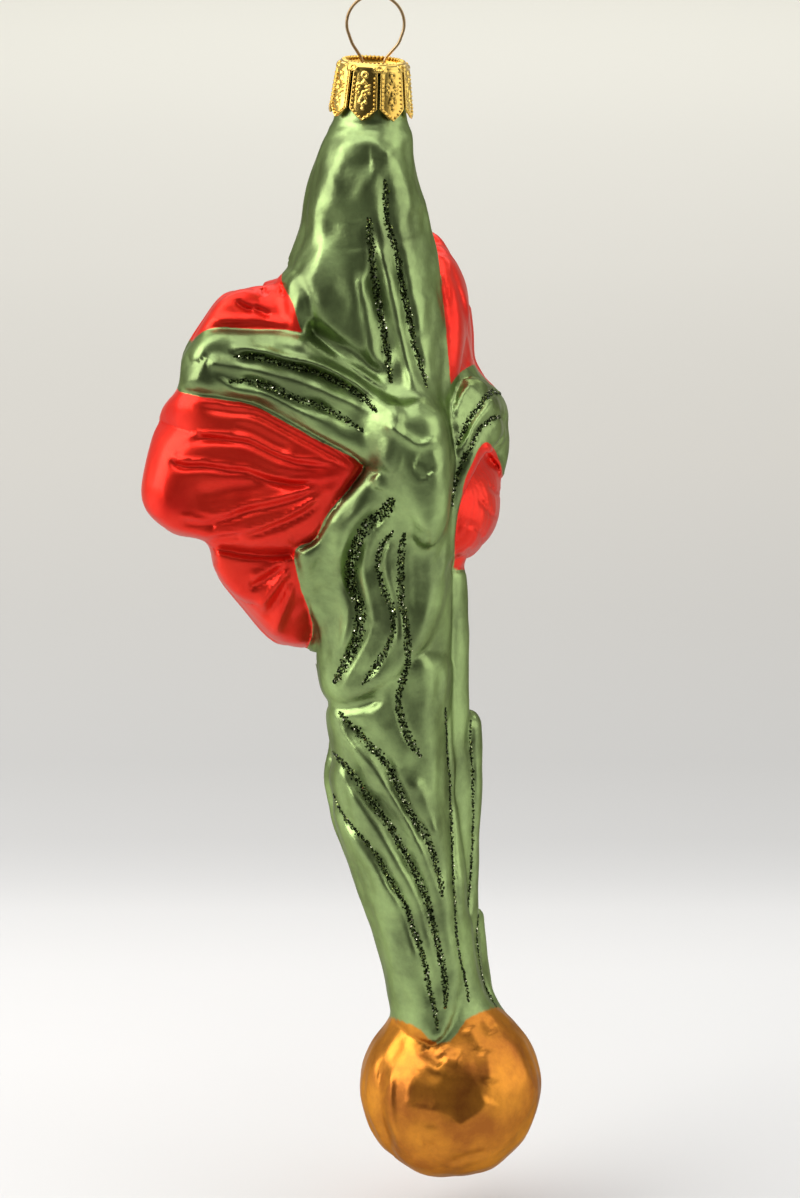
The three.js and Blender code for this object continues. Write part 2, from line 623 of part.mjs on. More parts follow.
// ------------------------------------------------------------ crown_cap
// The profile of the stamping, turned, then slit into tabs with pointed ends.
function crownCap() {
  const foot = -CAP_HEIGHT;
  const dish = -0.65; // the top sits below its knurled rim
  const profile = [
    [0, dish], [CAP_TOP_R - 1.1, dish], [CAP_TOP_R - 0.8, dish + 0.3], [CAP_TOP_R - 0.6, 0],
    [CAP_TOP_R, -0.05], [CAP_TOP_R + 0.15, -0.8], [CAP_TOP_R + 0.45, -3.5], [CAP_FOOT_R, foot],
    [CAP_FOOT_R - CAP_SHEET, foot], [CAP_TOP_R + 0.45 - CAP_SHEET, -3.5],
    [CAP_TOP_R + 0.15 - CAP_SHEET, -1.1], [CAP_TOP_R - 1.0, -1.1], [CAP_TOP_R - 1.2, dish - CAP_SHEET],
    [0, dish - CAP_SHEET],
  ].map(([r, z]) => new THREE.Vector2(r, z));
  const turned = new THREE.LatheGeometry(profile.reverse(), 48).rotateX(Math.PI / 2);
  let cap = solidFrom(turned);

  const half = (Math.PI * CAP_FOOT_R) / TABS;
  const shoulder = foot + TAB_POINT;
  const slitTop = -1.5;
  const slit = new THREE.Shape([
    new THREE.Vector2(-TAB_SLIT / 2, slitTop), new THREE.Vector2(-TAB_SLIT / 2, shoulder),
    new THREE.Vector2(-half, foot - 0.05), new THREE.Vector2(-half, foot - 1),
    new THREE.Vector2(half, foot - 1), new THREE.Vector2(half, foot - 0.05),
    new THREE.Vector2(TAB_SLIT / 2, shoulder), new THREE.Vector2(TAB_SLIT / 2, slitTop),
  ]);
  for (let i = 0; i < TABS; i++) {
    const cutter = new THREE.ExtrudeGeometry(slit, { depth: 5, bevelEnabled: false });
    cutter.rotateX(Math.PI / 2).translate(0, -3, 0); // reaches out along -Y
    cutter.rotateZ(FIRST_SLIT + (i * 2 * Math.PI) / TABS);
    cap = cap.subtract(solidFrom(cutter));
  }
  for (const side of [-1, 1]) {
    const hole = new THREE.CylinderGeometry(0.6, 0.6, 3, 12);
    hole.rotateX(Math.PI / 2).translate(side * LEG_GAP, 0, dish);
    cap = cap.subtract(solidFrom(hole));
  }
  return geometryFrom(cap);
}

// ------------------------------------------------------------ wire_hanger
// One length of wire: up one leg, round the ring and down the other leg.
function wireHanger() {
  const centre = -(RING_R - WIRE_R);
  const opening = THREE.MathUtils.degToRad(65); // where the ring runs straighter, down to the cap
  const path = [];
  const lean = (z) => CAP_CENTRE[0] + (z - CAP_CENTRE[2]) * Math.tan(CAP_TILT);
  const leg = [LEG_FOOT, [2.3, -20], [1.65, -13], [LEG_GAP, -9.8], [1.7, -8.9], [2.35, -7.95], [3.25, -6.75]];
  leg.forEach(([x, z]) => path.push(new THREE.Vector3(lean(z) + x, 0, z)));
  const arcs = 14;
  for (let i = 0; i <= arcs; i++) {
    const turn = opening + (i / arcs) * 2 * (Math.PI - opening);
    path.push(new THREE.Vector3(RING_R * Math.sin(turn), 0, centre - RING_R * Math.cos(turn)));
  }
  leg.reverse().forEach(([x, z]) => path.push(new THREE.Vector3(lean(z) - x, 0, z)));
  const curve = new THREE.CatmullRomCurve3(path, false, "centripetal");
  const round = new THREE.Shape();
  const sides = 6;
  for (let i = 0; i < sides; i++) {
    const turn = (i / sides) * 2 * Math.PI;
    const spot = [WIRE_R * Math.cos(turn), WIRE_R * Math.sin(turn)];
    if (i === 0) round.moveTo(...spot);
    else round.lineTo(...spot);
  }
  round.closePath();
  const wire = new THREE.ExtrudeGeometry(round, { steps: 84, extrudePath: curve, bevelEnabled: false });
  return geometryFrom(solidFrom(wire));
}

// ------------------------------------------------------------ the ornament
function part(name, geometry, colour, roughness, metalness) {
  geometry.computeVertexNormals();
  const mesh = new THREE.Mesh(geometry, new THREE.MeshStandardMaterial({ color: colour, roughness, metalness }));
  mesh.name = name;
  return mesh;
}

const ornament = new THREE.Group();
const cap = part("crown_cap", crownCap(), 0xdcb432, 0.3, 1);
cap.position.set(...CAP_CENTRE);
cap.rotation.y = CAP_TILT;
ornament.add(part("glass_body", glassBody(), 0x6e8c5a, 0.35, 0.8));
ornament.add(cap);
ornament.add(part("wire_hanger", wireHanger(), 0x96785a, 0.35, 1));

export default ornament;
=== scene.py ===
# A mould-blown glass tree ornament: an amaryllis with its sepals, stem, leaves and bulb in one
# thin silvered and lacquered glass, with glitter lines, a gilt crown cap and a wire hanger.
# Shapes are worked out in millimetres and turned into metres as they become meshes.
import math

import bmesh
import bpy
import numpy as np
from mathutils import Matrix, Vector
from mathutils.bvhtree import BVHTree


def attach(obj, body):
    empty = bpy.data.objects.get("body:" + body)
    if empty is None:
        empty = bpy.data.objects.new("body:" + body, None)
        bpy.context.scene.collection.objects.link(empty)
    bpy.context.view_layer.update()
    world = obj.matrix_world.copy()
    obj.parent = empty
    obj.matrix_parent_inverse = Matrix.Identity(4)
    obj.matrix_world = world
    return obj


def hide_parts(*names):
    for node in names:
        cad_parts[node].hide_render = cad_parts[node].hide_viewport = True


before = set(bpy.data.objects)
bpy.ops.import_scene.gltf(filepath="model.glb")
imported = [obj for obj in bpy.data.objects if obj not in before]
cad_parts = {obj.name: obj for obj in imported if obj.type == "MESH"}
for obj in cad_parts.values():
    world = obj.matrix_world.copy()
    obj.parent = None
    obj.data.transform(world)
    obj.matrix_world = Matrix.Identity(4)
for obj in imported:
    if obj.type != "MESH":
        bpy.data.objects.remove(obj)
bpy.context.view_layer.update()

# ---------------------------------------------------------------- camera
# A long lens looks a little down on the hanging ornament from 0.54 m away. The drawing of the
# near side's relief, further on, is made as seen from this same place.
EYE = (3.5, -540.0, 62.0)  # in millimetres
EYE_PITCH = math.radians(15.63)


def put_in_scene(name, data):
    """a new object with this data, at the origin"""
    made = bpy.data.objects.new(name, data)
    bpy.context.scene.collection.objects.link(made)
    return made


lens = bpy.data.cameras.new("camera")
lens.sensor_fit = "VERTICAL"
lens.sensor_height = 36.0
lens.lens = 113.3
lens.clip_start = 0.01
camera = put_in_scene("camera", lens)
camera.location = [v / 1000 for v in EYE]
camera.rotation_euler = (math.pi / 2 - EYE_PITCH, 0, 0)
bpy.context.scene.camera = camera
bpy.context.scene.view_settings.view_transform = "Standard"

# ---------------------------------------------------------------- blown glass: full forms
# The glass is one piece, blown into a two-part mould and silvered inside. Its skin is where a
# field is zero: below zero is inside. This first part gives the full forms: the broad upper
# sepal, the flower's funnel, stem, leaves, right sepal, side petals and bulb.
FINE = 0.52  # spacing of the skin's points
FAR = 60.0  # a distance that no form reaches
BASE = (7.5, -11.0, -67.0)  # back of the flower
FACE_TURN = math.radians(37)  # how far the flower looks away from +Y
THROAT = 4.0  # radius of the flower's throat
FACE_HEART = 17.0  # within it the petals are grown together
BULB = (11.2, -5.0, -165.0)
BULB_R = 13.8


def melt(a, b, soft):
    """two fields joined, their meeting rounded over a width"""
    h = np.maximum(soft - np.abs(a - b), 0) / soft
    return np.minimum(a, b) - h * h * soft / 4


def carve(a, b, soft):
    """what two fields share, its edge rounded over a width"""
    return -melt(-a, -b, soft)


def ease(v, low, high):
    """0 up to low, 1 from high on, smooth between"""
    t = np.clip((v - low) / (high - low), 0, 1)
    return t * t * (3 - 2 * t)


def between(rows, at):
    """smooth readings at "at" from rows of [at, value, value, ...]"""
    rows = np.array(rows, float)
    if rows[0, 0] > rows[-1, 0]:
        rows = rows[::-1]
    keys = rows[:, 0]
    last = len(keys) - 1
    i = np.clip(np.searchsorted(keys, at, side="right") - 1, 0, last - 1)
    before, after = np.maximum(i - 1, 0), np.minimum(i + 2, last)
    span = keys[i + 1] - keys[i]
    t = np.clip((at - keys[i]) / span, 0, 1)[..., None]
    a, b = rows[i], rows[i + 1]
    slope_in = (b - rows[before]) * (span / (keys[i + 1] - keys[before]))[..., None]
    slope_out = (rows[after] - a) * (span / (keys[after] - keys[i]))[..., None]
    t2, t3 = t * t, t * t * t
    value = (2 * t3 - 3 * t2 + 1) * a + (t3 - 2 * t2 + t) * slope_in
    value += (3 * t2 - 2 * t3) * b + (t3 - t2) * slope_out
    return np.moveaxis(value[..., 1:], -1, 0)


def through(points, count, closed=False):
    """count + 1 places on a smooth curve through points"""
    p = np.array(points, float)
    if closed:
        p = np.vstack([p[-1:], p, p[:2]])
    else:
        p = np.vstack([2 * p[:1] - p[1:2], p, 2 * p[-1:] - p[-2:-1]])
    pieces = len(p) - 3
    place = np.linspace(0, pieces, count + 1)
    i = np.minimum(place.astype(int), pieces - 1)
    w = (place - i)[:, None]
    p0, p1, p2, p3 = p[i], p[i + 1], p[i + 2], p[i + 3]

    def gap(a, b):
        return np.maximum(np.linalg.norm(b - a, axis=1), 1e-6)[:, None] ** 0.5

    d0, d1, d2 = gap(p0, p1), gap(p1, p2), gap(p2, p3)
    out = ((p1 - p0) / d0 - (p2 - p0) / (d0 + d1) + (p2 - p1) / d1) * d1
    back = ((p2 - p1) / d1 - (p3 - p1) / (d1 + d2) + (p3 - p2) / d2) * d1
    cubic = 2 * p1 - 2 * p2 + out + back
    square = -3 * p1 + 3 * p2 - 2 * out - back
    return p1 + out * w + square * w**2 + cubic * w**3


def on_drawing(x, y, z):
    """where a point is seen from EYE on the plane y = 0"""
    reach = -EYE[1] / (y - EYE[1])
    return EYE[0] + (x - EYE[0]) * reach, EYE[2] + (z - EYE[2]) * reach


def in_flower(x, y, z):
    """across the flower, up it, and from its base towards its open face"""
    dx, dy = x - BASE[0], y - BASE[1]
    c, s = math.cos(FACE_TURN), math.sin(FACE_TURN)
    return dx * c + dy * s, z - BASE[2], dy * c - dx * s


def boxed(shape, low, high):
    """a form that is worked out only in its own box"""

    def field(x, y, z):
        value = np.full(x.shape, FAR)
        near = (x > low[0]) & (x < high[0]) & (y > low[1]) & (y < high[1])
        near &= (z > low[2]) & (z < high[2])
        value[near] = shape(x[near], y[near], z[near])
        return value

    return field


def column(rows, rounding):
    """stacked oval sections: rows of [z, x, y, half width, half depth]"""
    r = np.array(rows)
    top, foot = r[0, 0], r[-1, 0]

    def shape(x, y, z):
        cx, cy, wide, deep = between(rows, z)
        side = (np.hypot((x - cx) / wide, (y - cy) / deep) - 1) * np.minimum(wide, deep)
        return carve(side, np.maximum(z - top, foot - z), rounding)

    low = [(r[:, 1] - r[:, 3]).min() - 6, (r[:, 2] - r[:, 4]).min() - 6, foot - 5]
    high = [(r[:, 1] + r[:, 3]).max() + 6, (r[:, 2] + r[:, 4]).max() + 6, top + 5]
    return boxed(shape, low, high)


def egg(centre, radii):
    """a ball with a radius of its own in each direction"""
    c, r = np.array(centre), np.array(radii)

    def shape(x, y, z):
        return (np.sqrt(sum(((v - c[i]) / r[i]) ** 2 for i, v in enumerate((x, y, z)))) - 1) * r.min()

    return boxed(shape, c - r - 7, c + r + 7)


def strap(rows, face_start, face_end):
    """an oval section along a curve: rows of [x, y, z, half width, half thickness]; the faces
    are the ways its broad side looks at its start and at its end"""
    r = np.array(rows)
    count = (len(r) - 1) * 5
    at = through(r[:, :3], count)
    along = np.gradient(at, axis=0)
    along /= np.linalg.norm(along, axis=1, keepdims=True)
    t = np.linspace(0, 1, count + 1)
    face = np.outer(1 - t, face_start) + np.outer(t, face_end)
    face -= along * (face * along).sum(1, keepdims=True)
    face /= np.linalg.norm(face, axis=1, keepdims=True)
    side = np.cross(along, face)
    keyed = np.column_stack([np.linspace(0, 1, len(r)), r[:, 3:]])
    wide, thick = between(keyed, t)

    def shape(x, y, z):
        p = np.column_stack([x, y, z])
        best = np.full(len(p), FAR)
        for i in range(count):
            gap = at[i + 1] - at[i]
            off = p - at[i]
            s = np.clip(off @ gap / (gap @ gap), 0, 1)
            off -= s[:, None] * gap
            w = wide[i] + (wide[i + 1] - wide[i]) * s
            h = thick[i] + (thick[i + 1] - thick[i]) * s
            least = np.minimum(w, h)
            a, b, c = [
                (off @ way[i]) * (1 - s) + (off @ way[i + 1]) * s for way in (side, face, along)
            ]
            spread = np.sqrt((a / w) ** 2 + (b / h) ** 2 + (c / least) ** 2)
            best = np.minimum(best, (spread - 1) * least)
        return best

    return boxed(shape, at.min(0) - 9, at.max(0) + 9)


# the six petals of the open face; the later ones lie over the earlier
FACE_PETALS = [
    {"angle": 90, "reach": 33.5, "wide": 13.0, "rise": 1.4},
    {"angle": 196, "reach": 36.0, "wide": 14.0, "rise": 1.4},
    {"angle": 316, "reach": 32.0, "wide": 14.0, "rise": 1.4},
    {"angle": 143, "reach": 34.0, "wide": 12.5, "rise": 3.2},
    {"angle": 250, "reach": 32.0, "wide": 13.5, "rise": 3.2},
    {"angle": 28, "reach": 33.0, "wide": 13.0, "rise": 3.2},
]


def on_petal(petal, across, up):
    """along a petal, off its midrib, and the petal's half width there"""
    turn = math.radians(petal["angle"])
    along = across * math.cos(turn) + up * math.sin(turn)
    off = up * math.cos(turn) - across * math.sin(turn)
    t = np.clip((along - THROAT) / (petal["reach"] - THROAT), 0, 1)
    end = np.maximum(t - 0.55, 0) / 0.45
    start = np.maximum(1 - t / 0.55, 0)
    half = petal["wide"] * np.sqrt(1 - end**2.2) * (1 - 0.6 * start**2)
    return along, off, np.maximum(half, 1e-3)


def inside_petals(across, up):
    """how far a place on the open face lies inside the petals' joint outline"""
    inside = FACE_HEART - np.hypot(across, up)
    for petal in FACE_PETALS:
        along, off, half = on_petal(petal, across, up)
        inside = np.maximum(inside, np.minimum(half - np.abs(off), petal["reach"] - along))
    return inside


def funnel(rows):
    """the flower: rows of [distance from its middle, back skin, face skin]"""
    spread = rows[-1][0]

    def shape(x, y, z):
        across, up, out = in_flower(x, y, z)
        back, face = between(rows, np.minimum(np.hypot(across, up), spread))
        slab = carve(back - out, out - face, 2.0) * 0.75
        return carve(slab, -inside_petals(across, up), 4.0)

    return boxed(shape, [-44, -30, -112], [34, 42, -24])


upper = column([
    [-17.4, -0.7, 0, 4.5, 4.5], [-19.4, -0.95, 0, 5.7, 5.5], [-22.4, -1.6, 0, 6.6, 6.1],
    [-26, -2.0, 0, 7.6, 6.8], [-29.4, -1.8, 0, 8.6, 7.3], [-33, -1.4, 0, 9.3, 7.8],
    [-39, -1.7, -0.5, 10.8, 8.4], [-44, -1.2, -1, 11, 8.6], [-50, -0.6, -2, 11, 8.4],
    [-55, 1.4, -3.5, 9, 7.8], [-60, 6, -5, 4.6, 7.2], [-66, 7, -6, 4, 6.5],
], 0.4)
flower = funnel([
    [0, -2, 15], [4, -0.6, 16.5], [9, 2.4, 20.5], [14, 5.6, 24], [20, 9.8, 26.5],
    [26, 14, 26], [31, 17.6, 24.6], [36, 20.4, 23],
])
upper_foot = egg([-8.6, -4.4, -45.4], [4.8, 6.2, 8.6])
knob = egg([6.6, -12.5, -66.6], [4.9, 4.9, 7.2])
shoulder = egg([5.0, -9.5, -60.8], [4.2, 5.9, 5.2])
stem = column([
    [-72, 6, -5, 5, 7.5], [-80, 3.4, -4.5, 7.6, 8.2], [-90, 2.4, -4, 8.8, 8.6],
    [-100, 2.2, -3.6, 8.8, 8.8], [-108, 2.2, -3.6, 9.2, 8.8], [-116, 2.6, -3.8, 9.2, 8.6],
    [-122, 3.2, -4, 9.2, 8.4], [-130, 4.8, -4.4, 8.6, 8], [-138, 6.6, -4.8, 7.8, 7.6],
    [-146, 8.2, -5, 7.2, 7.2], [-152, 9.8, -5, 7.4, 7.2], [-160, 10.8, -5, 7.6, 7.2],
], 2)
leaf_behind = column([
    [-79, 9.4, 1.5, 3.6, 4.2], [-90, 10, 1.6, 3.6, 4.6], [-105, 10.4, 1.2, 3.6, 4.8],
    [-125, 10.4, 0.6, 3.8, 4.8], [-145, 11.2, -1.4, 3.8, 4.8], [-156, 13, -3, 3.8, 4.8],
], 2.5)
leaf_right = column([
    [-107.5, 12.9, 3, 3, 3.6], [-114, 12.9, 2.8, 3.2, 4.2], [-128, 12.4, 2, 3.2, 4.6],
    [-140, 12.6, 0, 3, 4.6], [-156, 14.4, -3, 3, 4.6],
], 2)
leaf_low = column([
    [-139.5, 14, 4.4, 2.4, 3], [-146, 14.2, 3, 2.6, 3.6], [-151, 14.8, 1, 2.8, 4],
    [-158, 15.6, -2, 2.8, 4],
], 1.6)
leaf_back_tall = strap([
    [-1, 6, -92, 1.6, 1.6], [-1.4, 6.2, -100, 3.6, 2.4], [-0.4, 5, -114, 4, 2.8],
    [3.4, 3.4, -130, 3.8, 2.8], [8, 1.6, -148, 3.2, 2.6], [10, 0, -157, 3, 2.6],
], [-0.4, 1, 0], [0, 1, 0])
leaf_back_short = strap([
    [-5.6, 0.6, -112, 1.8, 1.8], [-5.2, 1.6, -118, 3.2, 2.4], [-1.6, 1.8, -130, 3.4, 2.6],
    [3.4, 1, -144, 3, 2.4], [6, -0.4, -156, 2.8, 2.4],
], [-0.9, 0.6, 0], [-0.5, 0.8, 0])
right_sepal = strap([
    [10, -8.5, -80, 1.2, 2.0], [10.5, -8.6, -72, 1.7, 2.6], [12.2, -7, -65, 3.1, 3],
    [14.6, -2.4, -60.4, 5.2, 3], [16.9, 4, -60.6, 5.2, 3], [18, 9.6, -64.6, 4.6, 2.8],
    [17.8, 13, -70, 3, 2.4],
], [0.3, -0.9, 0.2], [0.9, -0.1, 0.3])
petal_high = strap([
    [8, -4, -56, 3, 3], [9.6, 0, -50, 4.6, 4], [10.4, 5, -45, 5.6, 4.4],
    [9.8, 9.5, -42.4, 5, 4], [8.8, 12, -40.4, 3.6, 3.2], [8.4, 13.4, -38.8, 2.8, 2.6],
], [0.9, -0.4, 0.1], [0.9, -0.2, 0.4])
petal_low = strap([
    [9.6, -5, -73, 4, 3.4], [12.2, -1.5, -75.6, 6.6, 4.4], [14.2, 3.5, -76.8, 7.6, 4.8],
    [14.8, 9, -77.2, 7, 4.6],
], [0.9, -0.4, 0], [0.95, -0.1, -0.2])
bulb = egg(BULB, [BULB_R] * 3)
stamens = strap([
    [1.5, -3, -67, 2.0, 2.0], [-3.4, 3.6, -66.6, 1.9, 1.9], [-7.6, 9.2, -65.8, 2.4, 2.4],
    [-9.2, 11.2, -64.9, 2.0, 2.0],
], [0, 0, 1], [0, 0, 1])

# form, its paint, how softly it melts into the others, and whether the flower's outline trims it
FORMS = [
    (upper, "green", 1.6, False), (upper_foot, "green", 2.5, False), (flower, "red", 1.2, True),
    (knob, "green", 2.0, False), (shoulder, "green", 2.0, False), (stem, "green", 2.0, False),
    (leaf_behind, "green", 0.8, False), (leaf_right, "green", 0.8, False),
    (leaf_low, "green", 0.8, False), (leaf_back_tall, "green", 0.8, False),
    (leaf_back_short, "green", 0.8, False), (right_sepal, "green", 0.8, True),
    (petal_high, "red", 1.0, True), (petal_low, "red", 1.0, True),
    (stamens, "amber", 0.6, False), (bulb, "amber", 3.0, False),
]

# ---------------------------------------------------------------- blown glass: pressed relief
# The mould presses sepals, petals, folds and leaf ribs into the forms. On the near side they
# are drawn on a sheet as seen from EYE: raised plates with their outlines, then strokes that
# sink in or stand out. The sheet is kept as maps, read wherever the glass faces that way.
SHEET_STEP = 0.2
SHEET_LOW, SHEET_HIGH = (-42, -188), (34, -12)
SHEET_X, SHEET_Z = np.meshgrid(
    *(np.arange(low, high, SHEET_STEP) for low, high in zip(SHEET_LOW, SHEET_HIGH)), indexing="ij"
)


def window(line, reach):
    """the part of the sheet within reach of a line"""
    low, high = line.min(0) - reach, line.max(0) + reach
    span = []
    for axis, start in enumerate(SHEET_LOW):
        first = max(int((low[axis] - start) / SHEET_STEP), 0)
        span.append(slice(first, max(int((high[axis] - start) / SHEET_STEP) + 1, first + 1)))
    return tuple(span)


def to_line(line, reach):
    """distance to a line, and how far along it the nearest place is, from 0 to 1"""
    part = window(line, reach)
    x, z = SHEET_X[part], SHEET_Z[part]
    best, along = np.full(x.shape, reach**2), np.zeros(x.shape)
    for i, (a, b) in enumerate(zip(line[:-1], line[1:])):
        d = b - a
        t = np.clip(((x - a[0]) * d[0] + (z - a[1]) * d[1]) / max(d @ d, 1e-9), 0, 1)
        off = (x - a[0] - t * d[0]) ** 2 + (z - a[1] - t * d[1]) ** 2
        along = np.where(off < best, (i + t) / (len(line) - 1), along)
        best = np.minimum(best, off)
    return part, np.sqrt(best), along


def inside_line(line, reach):
    """how far each place on the sheet lies inside a closed line, below zero outside it"""
    part, off, _ = to_line(line, reach)
    x, z = SHEET_X[part], SHEET_Z[part]
    inside = np.zeros(x.shape, bool)
    for a, b in zip(line[:-1], line[1:]):
        if a[1] == b[1]:
            continue
        crossed = (a[1] > z) != (b[1] > z)
        inside ^= crossed & (x < (b[0] - a[0]) * (z - a[1]) / (b[1] - a[1]) + a[0])
    sheet = np.full(SHEET_X.shape, -reach)
    sheet[part] = np.where(inside, off, -off)
    return sheet


def blurred(sheet, width):
    """a sheet softened over a width"""
    fx, fz = np.fft.fftfreq(sheet.shape[0], SHEET_STEP), np.fft.rfftfreq(sheet.shape[1], SHEET_STEP)
    damp = np.exp(-2 * (math.pi * width) ** 2 * (fx[:, None] ** 2 + fz[None, :] ** 2))
    return np.fft.irfft2(np.fft.rfft2(sheet) * damp, s=sheet.shape)


def read_sheet(sheet, x, z):
    """the sheet's value at any place, smooth between its points"""
    u = np.clip((x - SHEET_LOW[0]) / SHEET_STEP, 0, sheet.shape[0] - 1.001)
    v = np.clip((z - SHEET_LOW[1]) / SHEET_STEP, 0, sheet.shape[1] - 1.001)
    i, j = u.astype(int), v.astype(int)
    u, v = u - i, v - j
    low = sheet[i, j] * (1 - u) + sheet[i + 1, j] * u
    return low * (1 - v) + (sheet[i, j + 1] * (1 - u) + sheet[i + 1, j + 1] * u) * v


def pressed(marks):
    """a sheet with marks pressed into it: [depth, width, ..., line], each fading at its ends"""
    sheet = np.zeros(SHEET_X.shape)
    for depth, width, *_, points in marks:
        part, off, along = to_line(through(points, (len(points) - 1) * 6), width * 3.2)
        fade = ease(along, 0.0, 0.16) * ease(1 - along, 0.0, 0.16) * 0.85 + 0.15
        sheet[part] -= depth * np.exp(-((off / width) ** 2)) * fade
    return sheet


# raised plates: how far each stands out, over what width it rises, and its outline
PLATES = [
    {"name": "upper sepal", "paint": "green", "rise": 2.0, "edge": 4.5, "soft": True, "outline": [
        (-6, -19.4), (-8.7, -22.6), (-11, -29.4), (-12.1, -36), (-13.7, -40.6), (-12.1, -44.5),
        (-10.9, -48.3), (-9, -52), (-4, -58), (2, -63), (8, -64), (11, -60), (10.8, -55), (9.9, -45),
        (9, -36.5), (7.5, -29.4), (5.7, -22.6), (4.8, -19.4)]},
    {"name": "upper left petal", "paint": "red", "rise": 1.8, "edge": 3, "outline": [
        (-11, -39.6), (-17.1, -40.9), (-22.2, -43), (-25.4, -47), (-26.8, -51), (-20, -53), (-10, -51)]},
    {"name": "left sepal", "paint": "green", "rise": 3.6, "edge": 2.6, "outline": [
        (5, -60.4), (1.8, -57.4), (-2, -54.8), (-5.3, -52.6), (-8.3, -50.5), (-11, -48.7), (-17.8, -48.2),
        (-24.4, -48.2), (-27.2, -50.5), (-29.1, -54), (-29.1, -57.2), (-26.5, -58.1), (-22.9, -58.7),
        (-18.4, -59.5), (-13.4, -62.1), (-8.3, -65), (-3.3, -67.6), (-0.4, -69.8), (2.6, -70.4),
        (4.4, -66)]},
    {"name": "large left petal", "paint": "red", "rise": 2.8, "edge": 3.8, "outline": [
        (-2, -68.4), (-9.6, -62.5), (-20, -57.5), (-29.2, -57.1), (-32.6, -60.9), (-34.5, -68.7),
        (-34.9, -73.9), (-32.6, -77.4), (-28, -79.6), (-20.9, -81.2), (-12.2, -81.4), (-9.3, -79.9),
        (-7, -76.6), (-4, -72)]},
    {"name": "lower left petal", "paint": "red", "rise": 1.1, "edge": 3, "outline": [
        (-26, -78), (-25.1, -81.8), (-22.2, -88), (-18.2, -91.5), (-15.4, -95.7), (-10.8, -97), (-9, -90),
        (-9, -80)]},
    {"name": "lower sepal", "paint": "green", "rise": 2.6, "edge": 2.6, "outline": [
        (2, -60), (-0.6, -66), (-2.6, -70.4), (-4.2, -72.4), (-7.2, -76), (-9.2, -79.9), (-12, -81.5),
        (-11.3, -87.2), (-10, -91.1), (-9.5, -94.4), (-10.3, -97), (-10.3, -99.7), (-9.5, -102.5),
        (-7.9, -104.6), (-4.2, -105.4), (-1, -104.3), (4.4, -100.4), (9.5, -92), (10.8, -80), (10.8, -70),
        (9.6, -60)]},
    {"name": "boss", "paint": "green", "rise": 2.6, "edge": 5, "soft": True, "outline": [
        (-1.2, -61), (1.2, -57), (5, -55.2), (8.8, -55.8), (11.6, -59.6), (12.4, -66), (11.6, -72.4),
        (8, -75.6), (3, -74.2), (-0.4, -68.6)]},
    {"name": "leaf fan", "paint": "green", "rise": 1.6, "edge": 3, "outline": [
        (-8, -102), (-6.9, -111.7), (-6.4, -114), (-7.3, -117), (-6.5, -120.4), (-6.6, -123.1),
        (-3.9, -130), (-1.7, -135.5), (1.1, -145.7), (2.6, -156), (9, -160), (13, -150), (11, -130),
        (10.2, -110), (10.4, -98)]},
    {"name": "upper right petal", "paint": "red", "rise": 0, "edge": 3, "outline": [
        (9, -33), (11.4, -36.6), (13.4, -40), (14.6, -43.3), (15, -47.9), (15.2, -53.8), (12, -57),
        (9.6, -56), (8, -46), (7.4, -37)]},
    {"name": "lower right petal", "paint": "red", "rise": 0, "edge": 3, "outline": [
        (19, -68), (20.2, -72), (20.2, -75.6), (19.2, -78), (18, -80.4), (16.2, -81.8), (14.2, -83),
        (12.4, -83.8), (10.7, -84), (9.4, -80), (10, -70), (13, -63), (17, -63)]},
    {"name": "right sepal", "paint": "green", "rise": 0, "edge": 3, "outline": [
        (10.2, -58), (12.2, -54.8), (14.7, -53.4), (16.9, -53.8), (18.9, -56), (20.4, -59), (21.3, -62.7),
        (21.6, -66), (20.6, -69.6), (19, -71.4), (18.4, -68.7), (17.4, -66.3), (16.3, -65.1),
        (15.4, -65.7), (14.3, -68), (13.2, -70.5), (12.6, -73.3), (12, -76.3), (11.6, -79.8),
        (11.2, -84.6), (9, -85), (8.6, -72), (8.6, -63)]},
]

